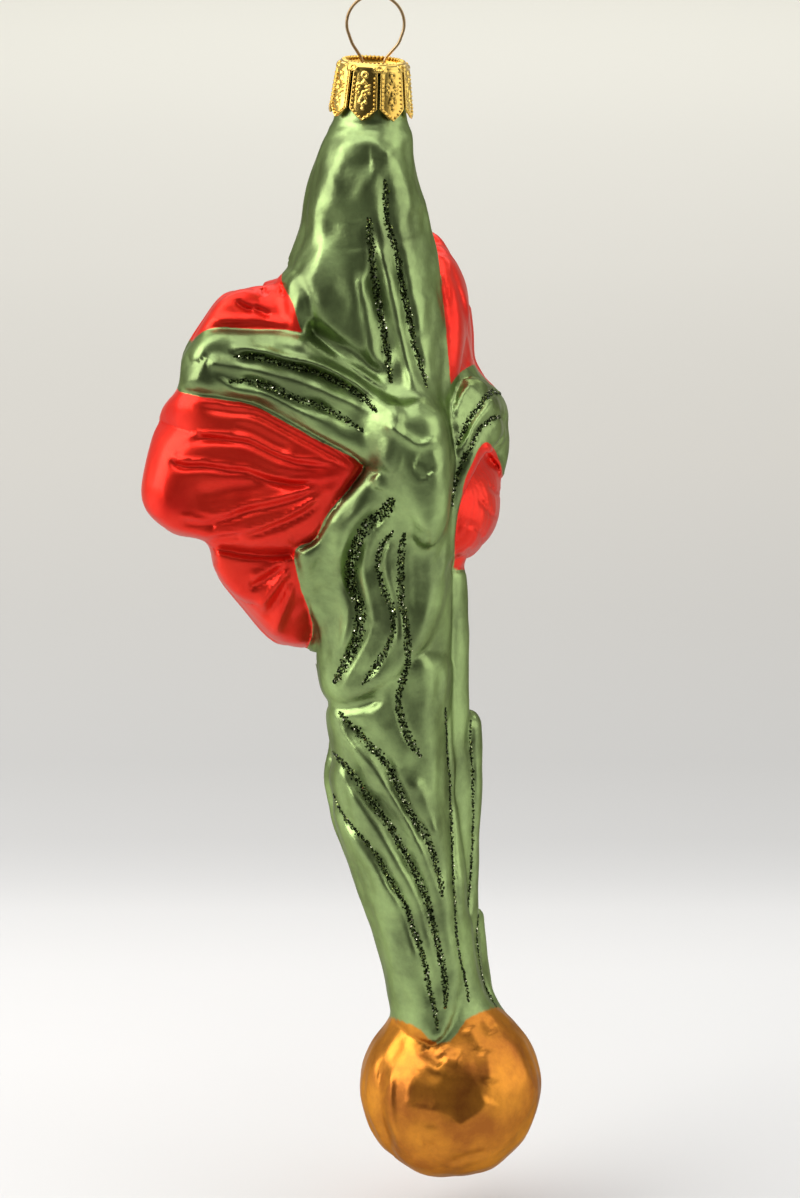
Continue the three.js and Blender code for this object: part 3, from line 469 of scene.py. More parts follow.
# lines that also carry glitter: [depth, width, half width of the glitter, line]
VALLEYS = [
    [0.7, 0.9, 0.52, [(-1, -32), (-0.8, -34.4), (-0.4, -37.7), (-0.2, -41), (0.4, -44), (0.9, -47),
        (1.2, -49.5), (1.6, -52.2), (2.2, -56.1)]],
    [0.6, 0.8, 0.48, [(1.4, -26.4), (1.4, -28.5), (1.4, -30.7), (1.9, -33.4), (3, -36.9), (3.6, -41),
        (4.4, -44.8), (5.1, -48.1), (5.7, -51.1), (6.8, -54.4), (7.4, -56.8)]],
    [0.6, 0.7, 0.48, [(-20.6, -52.3), (-18.3, -52.3), (-15.1, -52.9), (-12.1, -53.7), (-8.8, -54.6),
        (-5.8, -56), (-2.8, -57.7), (0, -60.5)]],
    [0.6, 0.7, 0.45, [(-21.4, -56), (-18.4, -55.9), (-15.4, -56.9), (-12.1, -58.5), (-8.8, -59.5),
        (-5.8, -61), (-2, -63.4)]],
    [0.8, 1.1, 0.80, [(2.6, -73.8), (1.2, -75.5), (-1.4, -77.4), (-3, -80.4), (-3.8, -83.9),
        (-3.6, -86.7), (-2.5, -89.5), (-2.5, -92.8), (-3.1, -96.1), (-4.7, -99.2), (-6.3, -101.9)]],
    [0.5, 0.8, 0.45, [(2.4, -78.7), (0.7, -81.2), (0.2, -83.9), (1.2, -87.8), (2.4, -90.8), (2.5, -94.2),
        (0.9, -97.8), (-0.7, -100.3), (-2, -102.2)]],
    [0.5, 0.8, 0.52, [(4.1, -79), (3.7, -82.3), (3.6, -86.1), (3.7, -89.5), (4.4, -93.3), (4.7, -97.8),
        (4.1, -101.4), (3.2, -104.8), (3.7, -107.4), (4.4, -109.8), (5.4, -111.7), (6.5, -113.6)]],
    [0.8, 1.0, 0.52, [(-5.5, -106.8), (-4.1, -108.4), (-2.5, -110.1), (-0.6, -112.4), (1.3, -114.7),
        (2.5, -117.1), (3.5, -119.4), (5.1, -122.8), (6.7, -125.5), (8, -127.8), (8.9, -130.9),
        (9.6, -133.6), (9.9, -135.9)]],
    [0.9, 1.0, 0.50, [(-6.5, -113.1), (-5.1, -114.7), (-3.5, -116.4), (-1.9, -119.1), (0, -121.8),
        (1.9, -124.8), (3.5, -127.8), (4.8, -130.2), (6.1, -132.9), (7.3, -135.9), (8.3, -139.7),
        (9, -142.8), (9.6, -145.8), (10.3, -148.9), (10.5, -154.1)]],
    [0.6, 0.8, 0.36, [(-6.5, -119.7), (-5.7, -121.8), (-4.5, -123.8), (-2.9, -125.8), (-1, -128.1),
        (0.6, -130.5), (1.9, -133.2), (3.5, -135.9), (4.8, -138.7), (5.7, -141.7), (6.7, -144.5),
        (7.4, -147.6), (8, -151), (8.7, -153.8), (9.2, -157.6)]],
    [0.5, 0.7, 0.34, [(10.3, -106.1), (10.4, -108.8), (10.6, -113.1), (11, -118.1), (11.3, -126.1),
        (11.6, -133.2), (11.8, -136.6), (12, -141), (12.5, -145.2), (13.2, -148.2), (14.1, -153.1)]],
    [0.4, 0.6, 0.24, [(14.1, -108.1), (14.1, -111.4), (14.4, -116.4), (14.5, -126.5), (14.1, -134.2),
        (13.8, -138.3), (13.9, -144.5)]],
    [0.35, 0.5, 0.24, [(15.4, -139), (15.2, -142.8), (15.6, -146.2), (16.1, -149.3), (17, -151.7),
        (18.3, -154.1)]],
    [0.45, 0.6, 0.38, [(12, -65.4), (12.9, -63.3), (13.8, -61.5), (15.2, -59.7), (16.9, -57.7),
        (18.3, -57.9), (19.4, -59.9)]],
    [0.45, 0.6, 0.38, [(11.2, -74.7), (11.6, -71.2), (12.3, -69.1), (13.2, -67), (14.1, -65.4),
        (15.2, -63.1), (16.3, -62.2), (17.6, -61.3), (18.5, -61.5), (19.4, -63.1), (20.1, -64.7)]],
]

# bare strokes, sunk where the depth is above zero and raised where it is below
STROKES = [
    # upper sepal: keel between the glitter lines, a fainter one beside it, arches under the neck
    [-0.8, 0.9, [(0.2, -35), (1, -37.7), (1.8, -41), (2.6, -44.8), (3.4, -48.6), (4.2, -51.9),
        (5.1, -55.2), (5.9, -58.3)]],
    [-0.45, 0.8, [(-2.5, -39.1), (-2.1, -42.1), (-1.6, -45.3), (-1.1, -48.6), (-0.7, -51.9),
        (0.1, -54.7)]],
    [-0.4, 1.1, [(-6.6, -23), (-5, -21.2), (-2.6, -20.6), (-0.4, -20.8), (1.4, -21.8), (3, -23.8),
        (4.2, -25.8), (5.2, -28)]],
    [0.45, 2.2, [(-6.8, -25.6), (-4.6, -24.2), (-2.2, -23.6), (-0.2, -23.4)]],
    [-0.25, 1.6, [(-9, -28.6), (-6.5, -30), (-3, -29.6), (-1.2, -27.2), (0.6, -25), (3, -24.6)]],
    [0.25, 1.6, [(-2.6, -31.8), (-2.4, -34), (-2.1, -37)]],
    [-0.4, 1.3, [(4.2, -26.4), (5, -28.8), (6.3, -31.2)]],
    [0.35, 1.4, [(4.7, -34.4), (5.8, -37.2), (6.9, -40.4)]],
    [-0.3, 1.3, [(7.9, -43.2), (6.6, -45.5), (6.9, -49.6)]],
    [0.8, 1.0, [(-10.4, -47.2), (-8.8, -48.4), (-6.1, -49.9), (-3.1, -51.9), (-0.4, -54.1),
        (1.8, -55.8)]],
    # left sepal: its thin upper rim, the ribs and the keel
    [-0.7, 0.5, [(-10.8, -48.7), (-8.3, -50.6), (-5.3, -52.7), (-2, -54.8), (1.8, -57.4)]],
    [-0.75, 0.8, [(-21.9, -51.4), (-19.6, -51.2), (-16.3, -51.5), (-13.3, -52.5), (-9.5, -53.3),
        (-5.8, -54.7), (-2, -57), (0.3, -59.1)]],
    [-1.0, 1.1, [(-24.9, -53), (-23.6, -53.3), (-19.9, -53.9), (-15.8, -54.8), (-12.1, -55.8),
        (-8.3, -57.2), (-4.5, -58.9), (-0.2, -61.2)]],
    [-0.45, 0.7, [(-24.2, -54.6), (-20.9, -57.2), (-16, -58.2), (-11, -60.6), (-6, -62.8)]],
    # upper left petal: short creases over a soft lip
    [0.6, 0.45, [(-16.5, -42.1), (-15.9, -43.3)]],
    [0.6, 0.45, [(-13.6, -41.3), (-13.4, -43.3)]],
    [0.6, 0.45, [(-20.5, -44.1), (-19.3, -45), (-17.8, -45.6)]],
    [0.6, 0.45, [(-17.8, -45.1), (-15.3, -46.4)]],
    [-0.5, 0.7, [(-24.4, -47), (-21.8, -46.8), (-19.3, -46.8), (-17.3, -46.7), (-15, -47.1),
        (-12.5, -47.8)]],
    # large left petal: soft hollows between its folds, a crease near its edge
    [0.45, 1.0, [(-21.5, -62.6), (-18.4, -63.4), (-15.4, -65), (-12, -66.6)]],
    [0.6, 1.4, [(-27, -73.4), (-23.6, -72.6), (-19, -71.8), (-13, -71.2), (-7, -70)]],
    [0.5, 1.6, [(-13, -80), (-10.9, -78.7), (-8.6, -75.6), (-6.2, -72.6)]],
    # lower left petal: a step down from the large petal, folds that gather at its upper corner
    [0.9, 0.7, [(-25.1, -80.9), (-22, -81.6), (-18.7, -82.2), (-15.8, -82.3), (-13.3, -82.2),
        (-11.8, -81.8)]],
    [-0.5, 0.7, [(-19.1, -85.6), (-17.1, -85.2), (-15.7, -84.5), (-14.4, -83.7), (-13.3, -83)]],
    [0.6, 0.7, [(-19.1, -87.4), (-17.9, -86.9), (-16.5, -86), (-15.1, -84.9), (-13.7, -83.7)]],
    [-0.6, 0.7, [(-18.1, -91.2), (-16.4, -89.2), (-15.1, -87.4), (-13.8, -85.9), (-13, -83.9)]],
    [0.5, 0.7, [(-16.7, -92.4), (-15.4, -90.2), (-14, -87.9), (-13, -85.3)]],
    [-0.5, 0.7, [(-15.5, -95.1), (-14.6, -92.9), (-13.8, -90.6), (-13.1, -88.6), (-12.7, -86.1)]],
    [0.5, 0.5, [(-24.2, -80.9), (-24.3, -82.3), (-23.8, -83.9)]],
    # boss: a bent ridge across it, a soft hollow below
    [-0.5, 0.8, [(0.9, -62), (2.9, -63.5), (4.4, -64.5), (6.4, -65.6), (8.4, -65), (9.6, -64.3)]],
    [0.55, 1.6, [(5.6, -68), (6.9, -68.6), (8, -70.2)]],
    [-0.4, 0.9, [(-0.4, -70.2), (0.4, -71.3), (0.2, -72.4)]],
    # lower sepal: broad bands and folds between the glitter lines, a soft crease under its tip
    [-0.6, 1.3, [(0.4, -72.5), (-2.2, -75.7), (-4.9, -79), (-5.7, -83.1), (-5.5, -86.1), (-4.4, -90),
        (-4.3, -94.2), (-6, -98.3), (-8.2, -101.7)]],
    [0.4, 1.3, [(-5.6, -77.6), (-8, -82.2), (-8.8, -87), (-7.6, -92)]],
    [-0.45, 0.7, [(1.6, -76.6), (-0.9, -80.9), (-1.8, -84.5), (-1.2, -88.3), (-0.4, -91.7),
        (-0.3, -94.4)]],
    [-0.4, 0.7, [(-0.4, -92.8), (-1.2, -95.5), (-2.8, -98.3), (-4.4, -101.7), (-5.2, -103.9)]],
    [-0.4, 0.7, [(2.5, -79.8), (1.6, -82.6), (1.8, -86.1), (3, -90), (3.5, -94.2), (2.8, -97.2)]],
    [0.7, 1.0, [(-9.2, -104.2), (-6.6, -105.7), (-4.2, -106), (-1.5, -105.3), (1.4, -104)]],
    # stem on the right of the sepal
    [-0.4, 1.3, [(8.1, -75.2), (7.8, -84.5), (7.2, -98.3), (6.8, -112.3)]],
    [0.35, 1.0, [(4.6, -74.9), (5.7, -84.5), (6, -92)]],
    [0.6, 0.8, [(9.5, -98), (9.5, -104.8), (9.6, -111.4), (9.8, -118.1), (10.5, -128.1)]],
    # leaf fan: each leaf's rounded crest and the hollow over it
    [-0.5, 0.9, [(-6.3, -108.6), (-3.8, -111.9), (-1.3, -115), (1, -118.2), (3.2, -121.8), (5.1, -125.2),
        (6.7, -128.6), (8, -132), (8.8, -135.2)]],
    [-0.5, 0.9, [(-5.7, -115.9), (-3.8, -119.8), (-1.6, -123.4), (0.6, -126.9), (2.9, -131),
        (4.8, -134.4), (6.4, -138), (7.3, -142.4)]],
    [-0.35, 0.9, [(-5.4, -124.4), (-2.9, -128.6), (-0.3, -132.4), (1.9, -136.4), (3.8, -140.4),
        (5.1, -144.2), (6.1, -149)]],
    [0.5, 1.2, [(-2.3, -108.6), (0.4, -111.3), (2, -114.2), (3.2, -116.8)]],
    [0.5, 1.1, [(-0.7, -119.3), (1.6, -122.4), (3.6, -125.2), (4.9, -128)]],
    [-0.4, 1.1, [(5.4, -117), (7.8, -122), (9.4, -127)]],
    # right sepal and right petals
    [-0.5, 0.6, [(17.2, -59), (15.8, -60.6), (14.5, -62.7), (13.2, -65.2), (12, -67.3)]],
    [-0.4, 0.7, [(14.5, -55.8), (12.7, -58.1), (11.8, -60.6), (11.2, -63.3)]],
    [0.3, 0.4, [(10.8, -38.4), (12.3, -44), (12.9, -50), (12.4, -55.6)]],
    [0.25, 0.4, [(11.9, -41.4), (13.1, -46), (13.4, -51.4), (12.9, -55)]],
    [-0.5, 0.6, [(16.3, -65.1), (17, -66.8), (18.4, -68.7), (18.7, -71)]],
    [0.3, 0.35, [(16.4, -71.4), (17.3, -72.6), (18.7, -73.1)]],
    [0.3, 0.35, [(15.2, -73.8), (16.4, -75.4), (17.7, -77)]],
    [0.3, 0.35, [(13, -77.3), (14.6, -78), (15.5, -79.1), (15.5, -80.8)]],
    [0.3, 0.35, [(13.5, -81.3), (14.2, -82.7)]],
    [0.6, 0.5, [(10.6, -84.7), (13, -84.3), (15, -83.1), (16.6, -81.9)]],
    # bulb: puckers under the leaves, a long fold down its left, flats and creases
    [-0.45, 1.5, [(3.4, -157), (4.6, -159.8), (6.2, -162.4), (8.3, -164.3), (10.6, -165.6)]],
    [0.4, 1.2, [(7.4, -160.4), (8.6, -162), (10.2, -163.4)]],
    [-0.35, 1.2, [(9.6, -160.8), (11, -162.4), (13, -163)]],
    [0.3, 0.9, [(16.5, -155.7), (17.1, -157.2), (17.9, -158.3)]],
    [-0.4, 1.1, [(13.9, -157.2), (15.1, -159.4), (15.9, -161.1)]],
    [-0.3, 1.3, [(16.7, -161.1), (17.4, -163.7), (17.4, -166.7)]],
    [0.5, 0.7, [(0.9, -162.3), (0.6, -165.9), (0.4, -169.3), (0.8, -172.4), (1.6, -175), (2.8, -178.3)]],
    [-0.4, 0.8, [(2, -163.5), (1.9, -169), (2.4, -174), (3.8, -178)]],
    [0.3, 2.4, [(4.4, -167.4), (8.6, -167.8), (13, -168.2), (15.6, -167.2)]],
    [-0.25, 1.4, [(3.4, -170.4), (6.4, -170.8), (9.6, -171.2)]],
    [0.25, 1.2, [(5.5, -172.9), (7.9, -173), (9.9, -173.2)]],
    [0.4, 0.8, [(7.1, -176.9), (9.1, -177.1)]],
    [0.45, 0.6, [(11, -180), (14, -178.8), (17, -178)]],
    [-0.35, 1.2, [(12, -174.4), (15.4, -172), (17.4, -169)]],
]

# folds of the large left petal, which gather at its root: a thin crest with a hollow under it
FOLDS = [
    [0.40, 0.7, [(-26.4, -59), (-24.2, -59.3), (-20.6, -59.8), (-18.6, -60), (-16.8, -60.6),
        (-14.6, -61.8), (-11, -63.8), (-6.3, -66.4), (-2.4, -69)]],
    [0.45, 0.7, [(-27.9, -64.3), (-25.4, -63.8), (-22.2, -64), (-18.9, -64.5), (-16.8, -65.5),
        (-14.6, -66.6), (-11.9, -67.5), (-8.8, -67.9), (-6.1, -68.2)]],
    [0.45, 0.7, [(-29.7, -66.4), (-29.8, -67.3), (-28.8, -67.9), (-25.4, -68), (-22.3, -68.5),
        (-19.1, -68.9), (-16, -70), (-12.8, -70.7), (-9.7, -70.7), (-6, -70.2)]],
    [0.40, 0.8, [(-26.7, -75.4), (-24.2, -76.1), (-21.9, -75.7), (-19.2, -74.7), (-16, -74), (-12.4, -73),
        (-9.7, -71.9), (-7.2, -70.6)]],
    [0.35, 0.7, [(-29.2, -76.3), (-26, -76.8), (-23.7, -77)]],
    [0.45, 0.7, [(-20.1, -78.5), (-17.9, -78.1), (-15.1, -77.1), (-12.4, -75.9), (-10.4, -74.7),
        (-8.3, -72.9)]],
    [0.35, 0.6, [(-25.8, -79.4), (-22.4, -78.9), (-20.1, -78.6)]],
]
for depth, width, line in FOLDS:
    STROKES.append([-depth * 0.7, width * 0.6, line])
    STROKES.append([depth * 1.25, width * 0.9, [(x + 0.2, z - 1.3 * width) for x, z in line]])

PAINT_REACH = 6.0  # how far off an outline its paint is still measured
rise_sheet = np.zeros(SHEET_X.shape)
paint_sheet = {paint: np.full(SHEET_X.shape, -PAINT_REACH) for paint in ("red", "green")}
for plate in PLATES:
    line = through(plate["outline"], len(plate["outline"]) * 5, closed=True)
    inside = inside_line(line, PAINT_REACH)
    if plate["rise"]:
        t = np.clip(inside / plate["edge"], 0, 1)
        slope_up = ease(t, 0, 1) if plate.get("soft") else np.sqrt(1 - (1 - t) ** 2)
        rise = np.where(inside > 0, plate["rise"] * slope_up, inside * 1.5)
        rise_sheet = -melt(-rise_sheet, -rise, 0.8)
    paint_sheet[plate["paint"]] = np.maximum(paint_sheet[plate["paint"]], inside)
rise_sheet = blurred(rise_sheet, 0.22)
stroke_sheet = blurred(pressed(VALLEYS + STROKES), 0.1)
# hand-blown waves: more of them in sepals and leaves, and in the bulb
wave_sheet = 0.3 + 0.45 * ease(paint_sheet["green"], -1, 1) + 0.25 * ease(-SHEET_Z, 154, 162)
wave_sheet = blurred(wave_sheet, 0.6)

# the flower's outline as drawn, which trims the funnel and the side petals
FLOWER_REACH = 14.0  # how far off it a place is still measured
flower_edge = inside_line(through([
    (-8, -30), (-13.5, -40.2), (-17.1, -40.9), (-22.2, -43), (-25.4, -47), (-28.2, -51.8), (-29.2, -57.2),
    (-32.6, -60.9), (-34, -65.9), (-35, -72), (-34.2, -75.4), (-30.2, -79.1), (-25.3, -80.4),
    (-24.1, -84.8), (-20, -90.5), (-15.4, -95.7), (-10.8, -97), (0, -98), (8, -92), (11.5, -84.6),
    (14.9, -82.5), (18.3, -77.4), (19, -72.5), (20.4, -65), (19, -58.3), (14.8, -53.4), (14.2, -47.9),
    (13, -40.1), (9.8, -33.6), (4, -29),
], 150, closed=True), FLOWER_REACH)

# the far side of the leaves, drawn square-on from behind: [depth, width, glitter, line]
FAR_VALLEYS = [
    [0.6, 0.7, 0.45, [(-1.6, -97), (-1.5, -106), (0.2, -118), (4, -133), (8.6, -150)]],
    [0.5, 0.7, 0.35, [(3.4, -104), (4.2, -116), (6.4, -130), (9.6, -146), (11, -154)]],
    [0.5, 0.6, 0.40, [(-6, -116), (-4.6, -124), (-1.4, -134), (3, -147), (5, -154)]],
    [0.5, 0.7, 0.35, [(9.6, -90), (10, -104), (10.6, -122), (11.4, -140), (13, -151)]],
    [0.6, 0.8, 0.45, [(-3.4, -23), (-4.2, -27), (-5, -31)]],
    [0.6, 0.8, 0.45, [(0.6, -22.6), (0.4, -27), (0.2, -31)]],
    [0.5, 0.6, 0.30, [(13.6, -112), (13.8, -124), (13.2, -138)]],
]
FAR_STROKES = [
    [-0.5, 0.8, [(-3, -98), (-2.8, -108), (-1.2, -120), (2.6, -134), (7, -149)]],
    [-0.5, 0.9, [(-1.6, -22), (-2, -26), (-2.2, -30)]],
    [-0.5, 0.9, [(6.6, -100), (7.4, -116), (9, -132), (11, -146)]],
    [0.4, 0.9, [(1, -96), (1.4, -106), (2.6, -118)]],
    [-0.4, 0.8, [(-4, -118), (-2.4, -128), (1.4, -140)]],
    [0.5, 0.8, [(6, -158), (9, -161), (12, -162)]],
    [-0.5, 0.9, [(5, -161), (9, -164), (14, -163.6), (17, -160)]],
]
far_sheet = pressed(FAR_VALLEYS + FAR_STROKES)


def face_relief(across, up):
    """the open face: overlapping petals with a midrib, veins, a soft rolled edge and pleats"""
    best = np.full(across.shape, -0.6)
    for petal in FACE_PETALS:
        along, off, half = on_petal(petal, across, up)
        own = (along > THROAT) & (along < petal["reach"]) & (np.abs(off) < half)
        u = np.clip(off / half, -1, 1)
        far_along = np.clip((along - THROAT) / (petal["reach"] - THROAT), 0, 1)
        dome = np.sqrt(1 - u**2) * np.clip((along - THROAT) / 5, 0, 1)
        rib = 0.75 * np.exp(-((off / 1.1) ** 2)) - 0.35 * np.exp(-(((np.abs(off) - 1.9) / 0.9) ** 2))
        veins = 0.16 * np.cos(u * 16) * ease(far_along, 0.12, 0.4) * (1 - ease(np.abs(u), 0.75, 1))
        frill = 0.3 * np.sin(along * 0.9 + petal["angle"]) * np.abs(u) ** 3
        rise = petal["rise"] * dome - rib * (1 - 0.6 * far_along) + veins + frill
        best = np.where(own, np.maximum(best, rise), best)
    return best


# waves that hand-blown glass keeps: long ones, then short ones, each with its way, start and pitch
waver = np.random.default_rng(7)
WAVES = [
    (waver.normal(size=3), waver.uniform(0, 2 * math.pi), waver.uniform(*pitches))
    for pitches, count in (((0.55, 1.25), 14), ((1.5, 2.4), 12)) for _ in range(count)
]


def waviness(x, y, z):
    """all waves together"""
    total = np.zeros(x.shape)
    for way, start, pitch in WAVES:
        way = way / np.linalg.norm(way) * pitch
        total += np.sin(x * way[0] + y * way[1] + z * way[2] * 0.7 + start) / pitch
    return total / 16


# ---------------------------------------------------------------- blown glass: its skin
# Forms and relief together give the field. The skin is found on a fine grid: a point in each
# cell that it crosses, a face for each grid edge, and then every point is slid onto the glass.
LOW = np.array([-40.0, -26.0, -187.0])
HIGH = np.array([29.0, 36.0, -8.0])
CAP_CENTRE = (-0.3, 0.0, -9.1)  # middle of the cap's top
CAP_TILT = math.radians(3)
NECK = [[-14, 5.0], [-9.9, 5.55], [-9, 5.2], [-5, 4.6], [-1.8, 4.3], [-1.5, 4.2]]  # height, radius
NECK_BORE, BORE_FOOT = 3.5, -20
NEAR_SKIN = 6.5  # only places whose coarse value is below this are worked out finely


def from_cap(x, y, z):
    """a point in the leaning frame of cap and neck: off their axis, and height from the cap's top"""
    c, s = math.cos(CAP_TILT), math.sin(CAP_TILT)
    dx, dz = x - CAP_CENTRE[0], z - CAP_CENTRE[2]
    return np.hypot(dx * c - dz * s, y), dx * s + dz * c


def neck(x, y, z):
    """the glass neck that the cap stands over"""
    off, height = from_cap(x, y, z)
    side = off - np.interp(height, *zip(*NECK))
    return np.maximum(side, np.maximum(height - NECK[-1][0], NECK[0][0] - height))


def bare_glass(x, y, z):
    """the field of the full forms and the neck, without relief"""
    skin = neck(x, y, z)
    trim = -read_sheet(flower_edge, *on_drawing(x, y, z))
    for form, _, soft, trimmed in FORMS:
        value = form(x, y, z)
        skin = melt(skin, carve(value, trim, 3.0) if trimmed else value, soft)
    return skin


# the forms and their slope on a coarse grid, which tells which way a place looks
COARSE = 1.5
COARSE_LOW = LOW - 3
coarse_lines = [np.arange(low, high + 4.5, COARSE) for low, high in zip(COARSE_LOW, HIGH)]
coarse_at = np.meshgrid(*coarse_lines, indexing="ij")
coarse_bare = bare_glass(*[a.ravel() for a in coarse_at]).reshape(coarse_at[0].shape)
coarse_slope = np.stack(np.gradient(coarse_bare, COARSE))
coarse_slope /= np.maximum(np.linalg.norm(coarse_slope, axis=0), 1e-6)


def read_coarse(grids, x, y, z):
    """coarse grids' values at any place, smooth between their points"""
    at = [(v - low) / COARSE for v, low in zip((x, y, z), COARSE_LOW)]
    cell = [np.clip(a.astype(int), 0, n - 2) for a, n in zip(at, grids.shape[1:])]
    f = [np.clip(a - c, 0, 1) for a, c in zip(at, cell)]
    total = 0
    for corner in range(8):
        bit = [(corner >> k) & 1 for k in range(3)]
        weight = np.prod([f[k] if bit[k] else 1 - f[k] for k in range(3)], axis=0)
        total = total + grids[:, cell[0] + bit[0], cell[1] + bit[1], cell[2] + bit[2]] * weight
    return total


def sides_of(x, y, z):
    """how much a place belongs to the near side, how far it looks the open face's way, its slope"""
    slope = read_coarse(coarse_slope, x, y, z)
    near = ease(-slope[1], -0.25, 0.1)
    facing = slope[1] * math.cos(FACE_TURN) - slope[0] * math.sin(FACE_TURN)
    return near, facing, slope


def seen_front(dx, y):
    """1 on the layer that the drawing belongs to; on the right it reaches further back"""
    return ease(3 + 14 * ease(dx, 10.5, 12) - y, 0, 3)


def glass(x, y, z):
    """the whole field: forms, relief, waves, the flower's trimmed outline and the neck's bore"""
    bare = bare_glass(x, y, z)
    near, facing, slope = sides_of(x, y, z)
    across, up, out = in_flower(x, y, z)
    dx, dz = on_drawing(x, y, z)
    front = near * ease(-y, -3, 0)
    strokes = near * seen_front(dx, y)
    rise = read_sheet(rise_sheet, dx, dz) * front + read_sheet(stroke_sheet, dx, dz) * strokes
    on_flower = 1 - ease(flower(x, y, z) - bare, 0.5, 2)
    rise += face_relief(across, up) * ease(facing, 0.1, 0.5) * (1 - front) * on_flower * (out > 10)
    rise += read_sheet(far_sheet, x, z) * ease(slope[1], 0.1, 0.5) * (1 - on_flower)
    waves = read_sheet(wave_sheet, dx, dz) * near + 0.45 * (1 - near)
    rise += waves * waviness(x, y, z) * ease(-z, 17, 21)
    outside = 16 * (on_flower - 1) - read_sheet(flower_edge, dx, dz)
    solid = carve(bare - rise, outside, 1.2)
    off, height = from_cap(x, y, z)
    return np.maximum(solid, -np.maximum(off - NECK_BORE, BORE_FOOT - height))


def skin_of(field, cell):
    """points and four-sided faces of the field's skin"""
    count = np.ceil((HIGH - LOW) / cell).astype(int) + 1
    lines = [LOW[i] + np.arange(count[i]) * cell for i in range(3)]
    grid = np.meshgrid(*lines, indexing="ij")
    flat = [g.ravel() for g in grid]
    rough = read_coarse(coarse_bare[None], *flat)[0]
    value = np.where(rough > 0, FAR, -FAR)
    band = np.abs(rough) < NEAR_SKIN
    value[band] = field(*[f[band] for f in flat])
    value = value.reshape(count)

    # two inner points that meet only across a diagonal would pinch the skin
    for _ in range(6):
        pinches = 0
        for u, v in ((0, 1), (1, 2), (2, 0)):
            corner = []
            for du, dv in ((0, 0), (1, 1), (1, 0), (0, 1)):
                span = [slice(None)] * 3
                span[u] = slice(du, None if du else -1)
                span[v] = slice(dv, None if dv else -1)
                corner.append(value[tuple(span)])
            a, b, c, d = corner
            crossed = ((a < 0) == (b < 0)) & ((c < 0) == (d < 0)) & ((a < 0) != (c < 0))
            pinches += int(crossed.sum())
            c[crossed & (a < 0)] = -0.02
            a[crossed & (a >= 0)] = -0.02
        if not pinches:
            break

    stride = np.array([count[1] * count[2], count[2], 1])
    step = np.eye(3, dtype=int)
    quads, marks = [], []
    for axis in range(3):
        u, v = (axis + 1) % 3, (axis + 2) % 3
        first = value[1:-1, 1:-1, 1:-1]
        ahead = [slice(1, -1)] * 3
        ahead[axis] = slice(2, None)
        second = value[tuple(ahead)]
        spot = np.argwhere((first < 0) != (second < 0)) + 1
        va = value[tuple(spot.T)]
        vb = value[tuple((spot + step[axis]).T)]
        mark = spot + step[axis] * (va / (va - vb))[:, None]
        around = np.stack([
            (spot + du * step[u] + dv * step[v]) @ stride
            for du, dv in ((0, 0), (-1, 0), (-1, -1), (0, -1))
        ], axis=1)
        around[va >= 0] = around[va >= 0][:, ::-1]
        quads.append(around)
        marks.append(np.repeat(mark[:, None], 4, axis=1))
    quads, marks = np.vstack(quads), np.vstack(marks)
    index = np.unique(quads, return_inverse=True)[1].reshape(-1)
    total = np.bincount(index)
    points = np.stack([np.bincount(index, marks[..., k].ravel()) / total for k in range(3)], axis=1)
    return LOW + points * cell, index.reshape(-1, 4)


def slope_at(field, p, h=0.06):
    """the field's slope at points, measured over h to either side"""
    slope = np.zeros(p.shape)
    for axis in range(3):
        step = np.zeros(3)
        step[axis] = h
        slope[:, axis] = (field(*(p + step).T) - field(*(p - step).T)) / (2 * h)
    return slope


points, faces = skin_of(glass, FINE)
for turn in range(3):
    if turn:  # even out the points before each later slide
        total = np.bincount(faces.ravel(), minlength=len(points))[:, None]
        middle = np.repeat(points[faces].mean(axis=1), 4, axis=0)
        even = np.stack([np.bincount(faces.ravel(), middle[:, k], len(points)) for k in range(3)], 1)
        points = points + (even / total - points) * 0.5
    slope = slope_at(glass, points)
    push = -glass(*points.T) / np.maximum((slope**2).sum(1), 0.25)
    points = points + np.clip(slope * push[:, None], -FINE / 2, FINE / 2)

# keep the one body and leave out any scrap
label = np.arange(len(points))
for _ in range(400):
    least = label[faces].min(axis=1)
    fresh = label.copy()
    np.minimum.at(fresh, faces.ravel(), np.repeat(least, 4))
    fresh = fresh[fresh]
    if (fresh == label).all():
        break
    label = fresh
main = label == np.bincount(label).argmax()
renumber = np.cumsum(main) - 1
faces = renumber[faces[main[faces[:, 0]]]]
points = points[main]
normals = slope_at(glass, points, 0.12)
normals /= np.maximum(np.linalg.norm(normals, axis=1, keepdims=True), 1e-9)

# ---------------------------------------------------------------- blown glass: places of lacquer
# The figure is painted by hand: sepals, stem and leaves satin green, petals glossy red, bulb
# and stamens amber. Each point keeps its distance in millimetres inside the red and the amber.
x, y, z = points.T
near = sides_of(x, y, z)[0]
nearest = {paint: np.full(len(points), PAINT_REACH) for paint in ("green", "red", "amber")}
for form, paint, _, _ in FORMS:
    nearest[paint] = np.minimum(nearest[paint], form(x, y, z))
dx, dz = on_drawing(x, y, z)
drawn_red, drawn_green = [read_sheet(paint_sheet[paint], dx, dz) for paint in ("red", "green")]
drawn = ease(np.maximum(drawn_red, drawn_green), -1.6, -0.6) * seen_front(dx, y)
drawn *= np.maximum(ease(near, 0.02, 0.25), ease(dx, 9.5, 11))
red = (nearest["green"] - nearest["red"]) * 0.8 - 0.3
red = red * (1 - drawn) + np.minimum((drawn_red - drawn_green) / 2, -drawn_green) * drawn
BULB_BORDER = [
    (-3, -155.2), (2.7, -156), (6.1, -157.3), (7.5, -158.8), (9.3, -160.2), (11.6, -159.4), (12.9, -157.3),
    (13.8, -156), (15.8, -154.9), (18.4, -153.9), (26, -152.4),
]
at_back = ease(y, -4, 2)
amber = np.interp(dx, *zip(*BULB_BORDER)) - dz
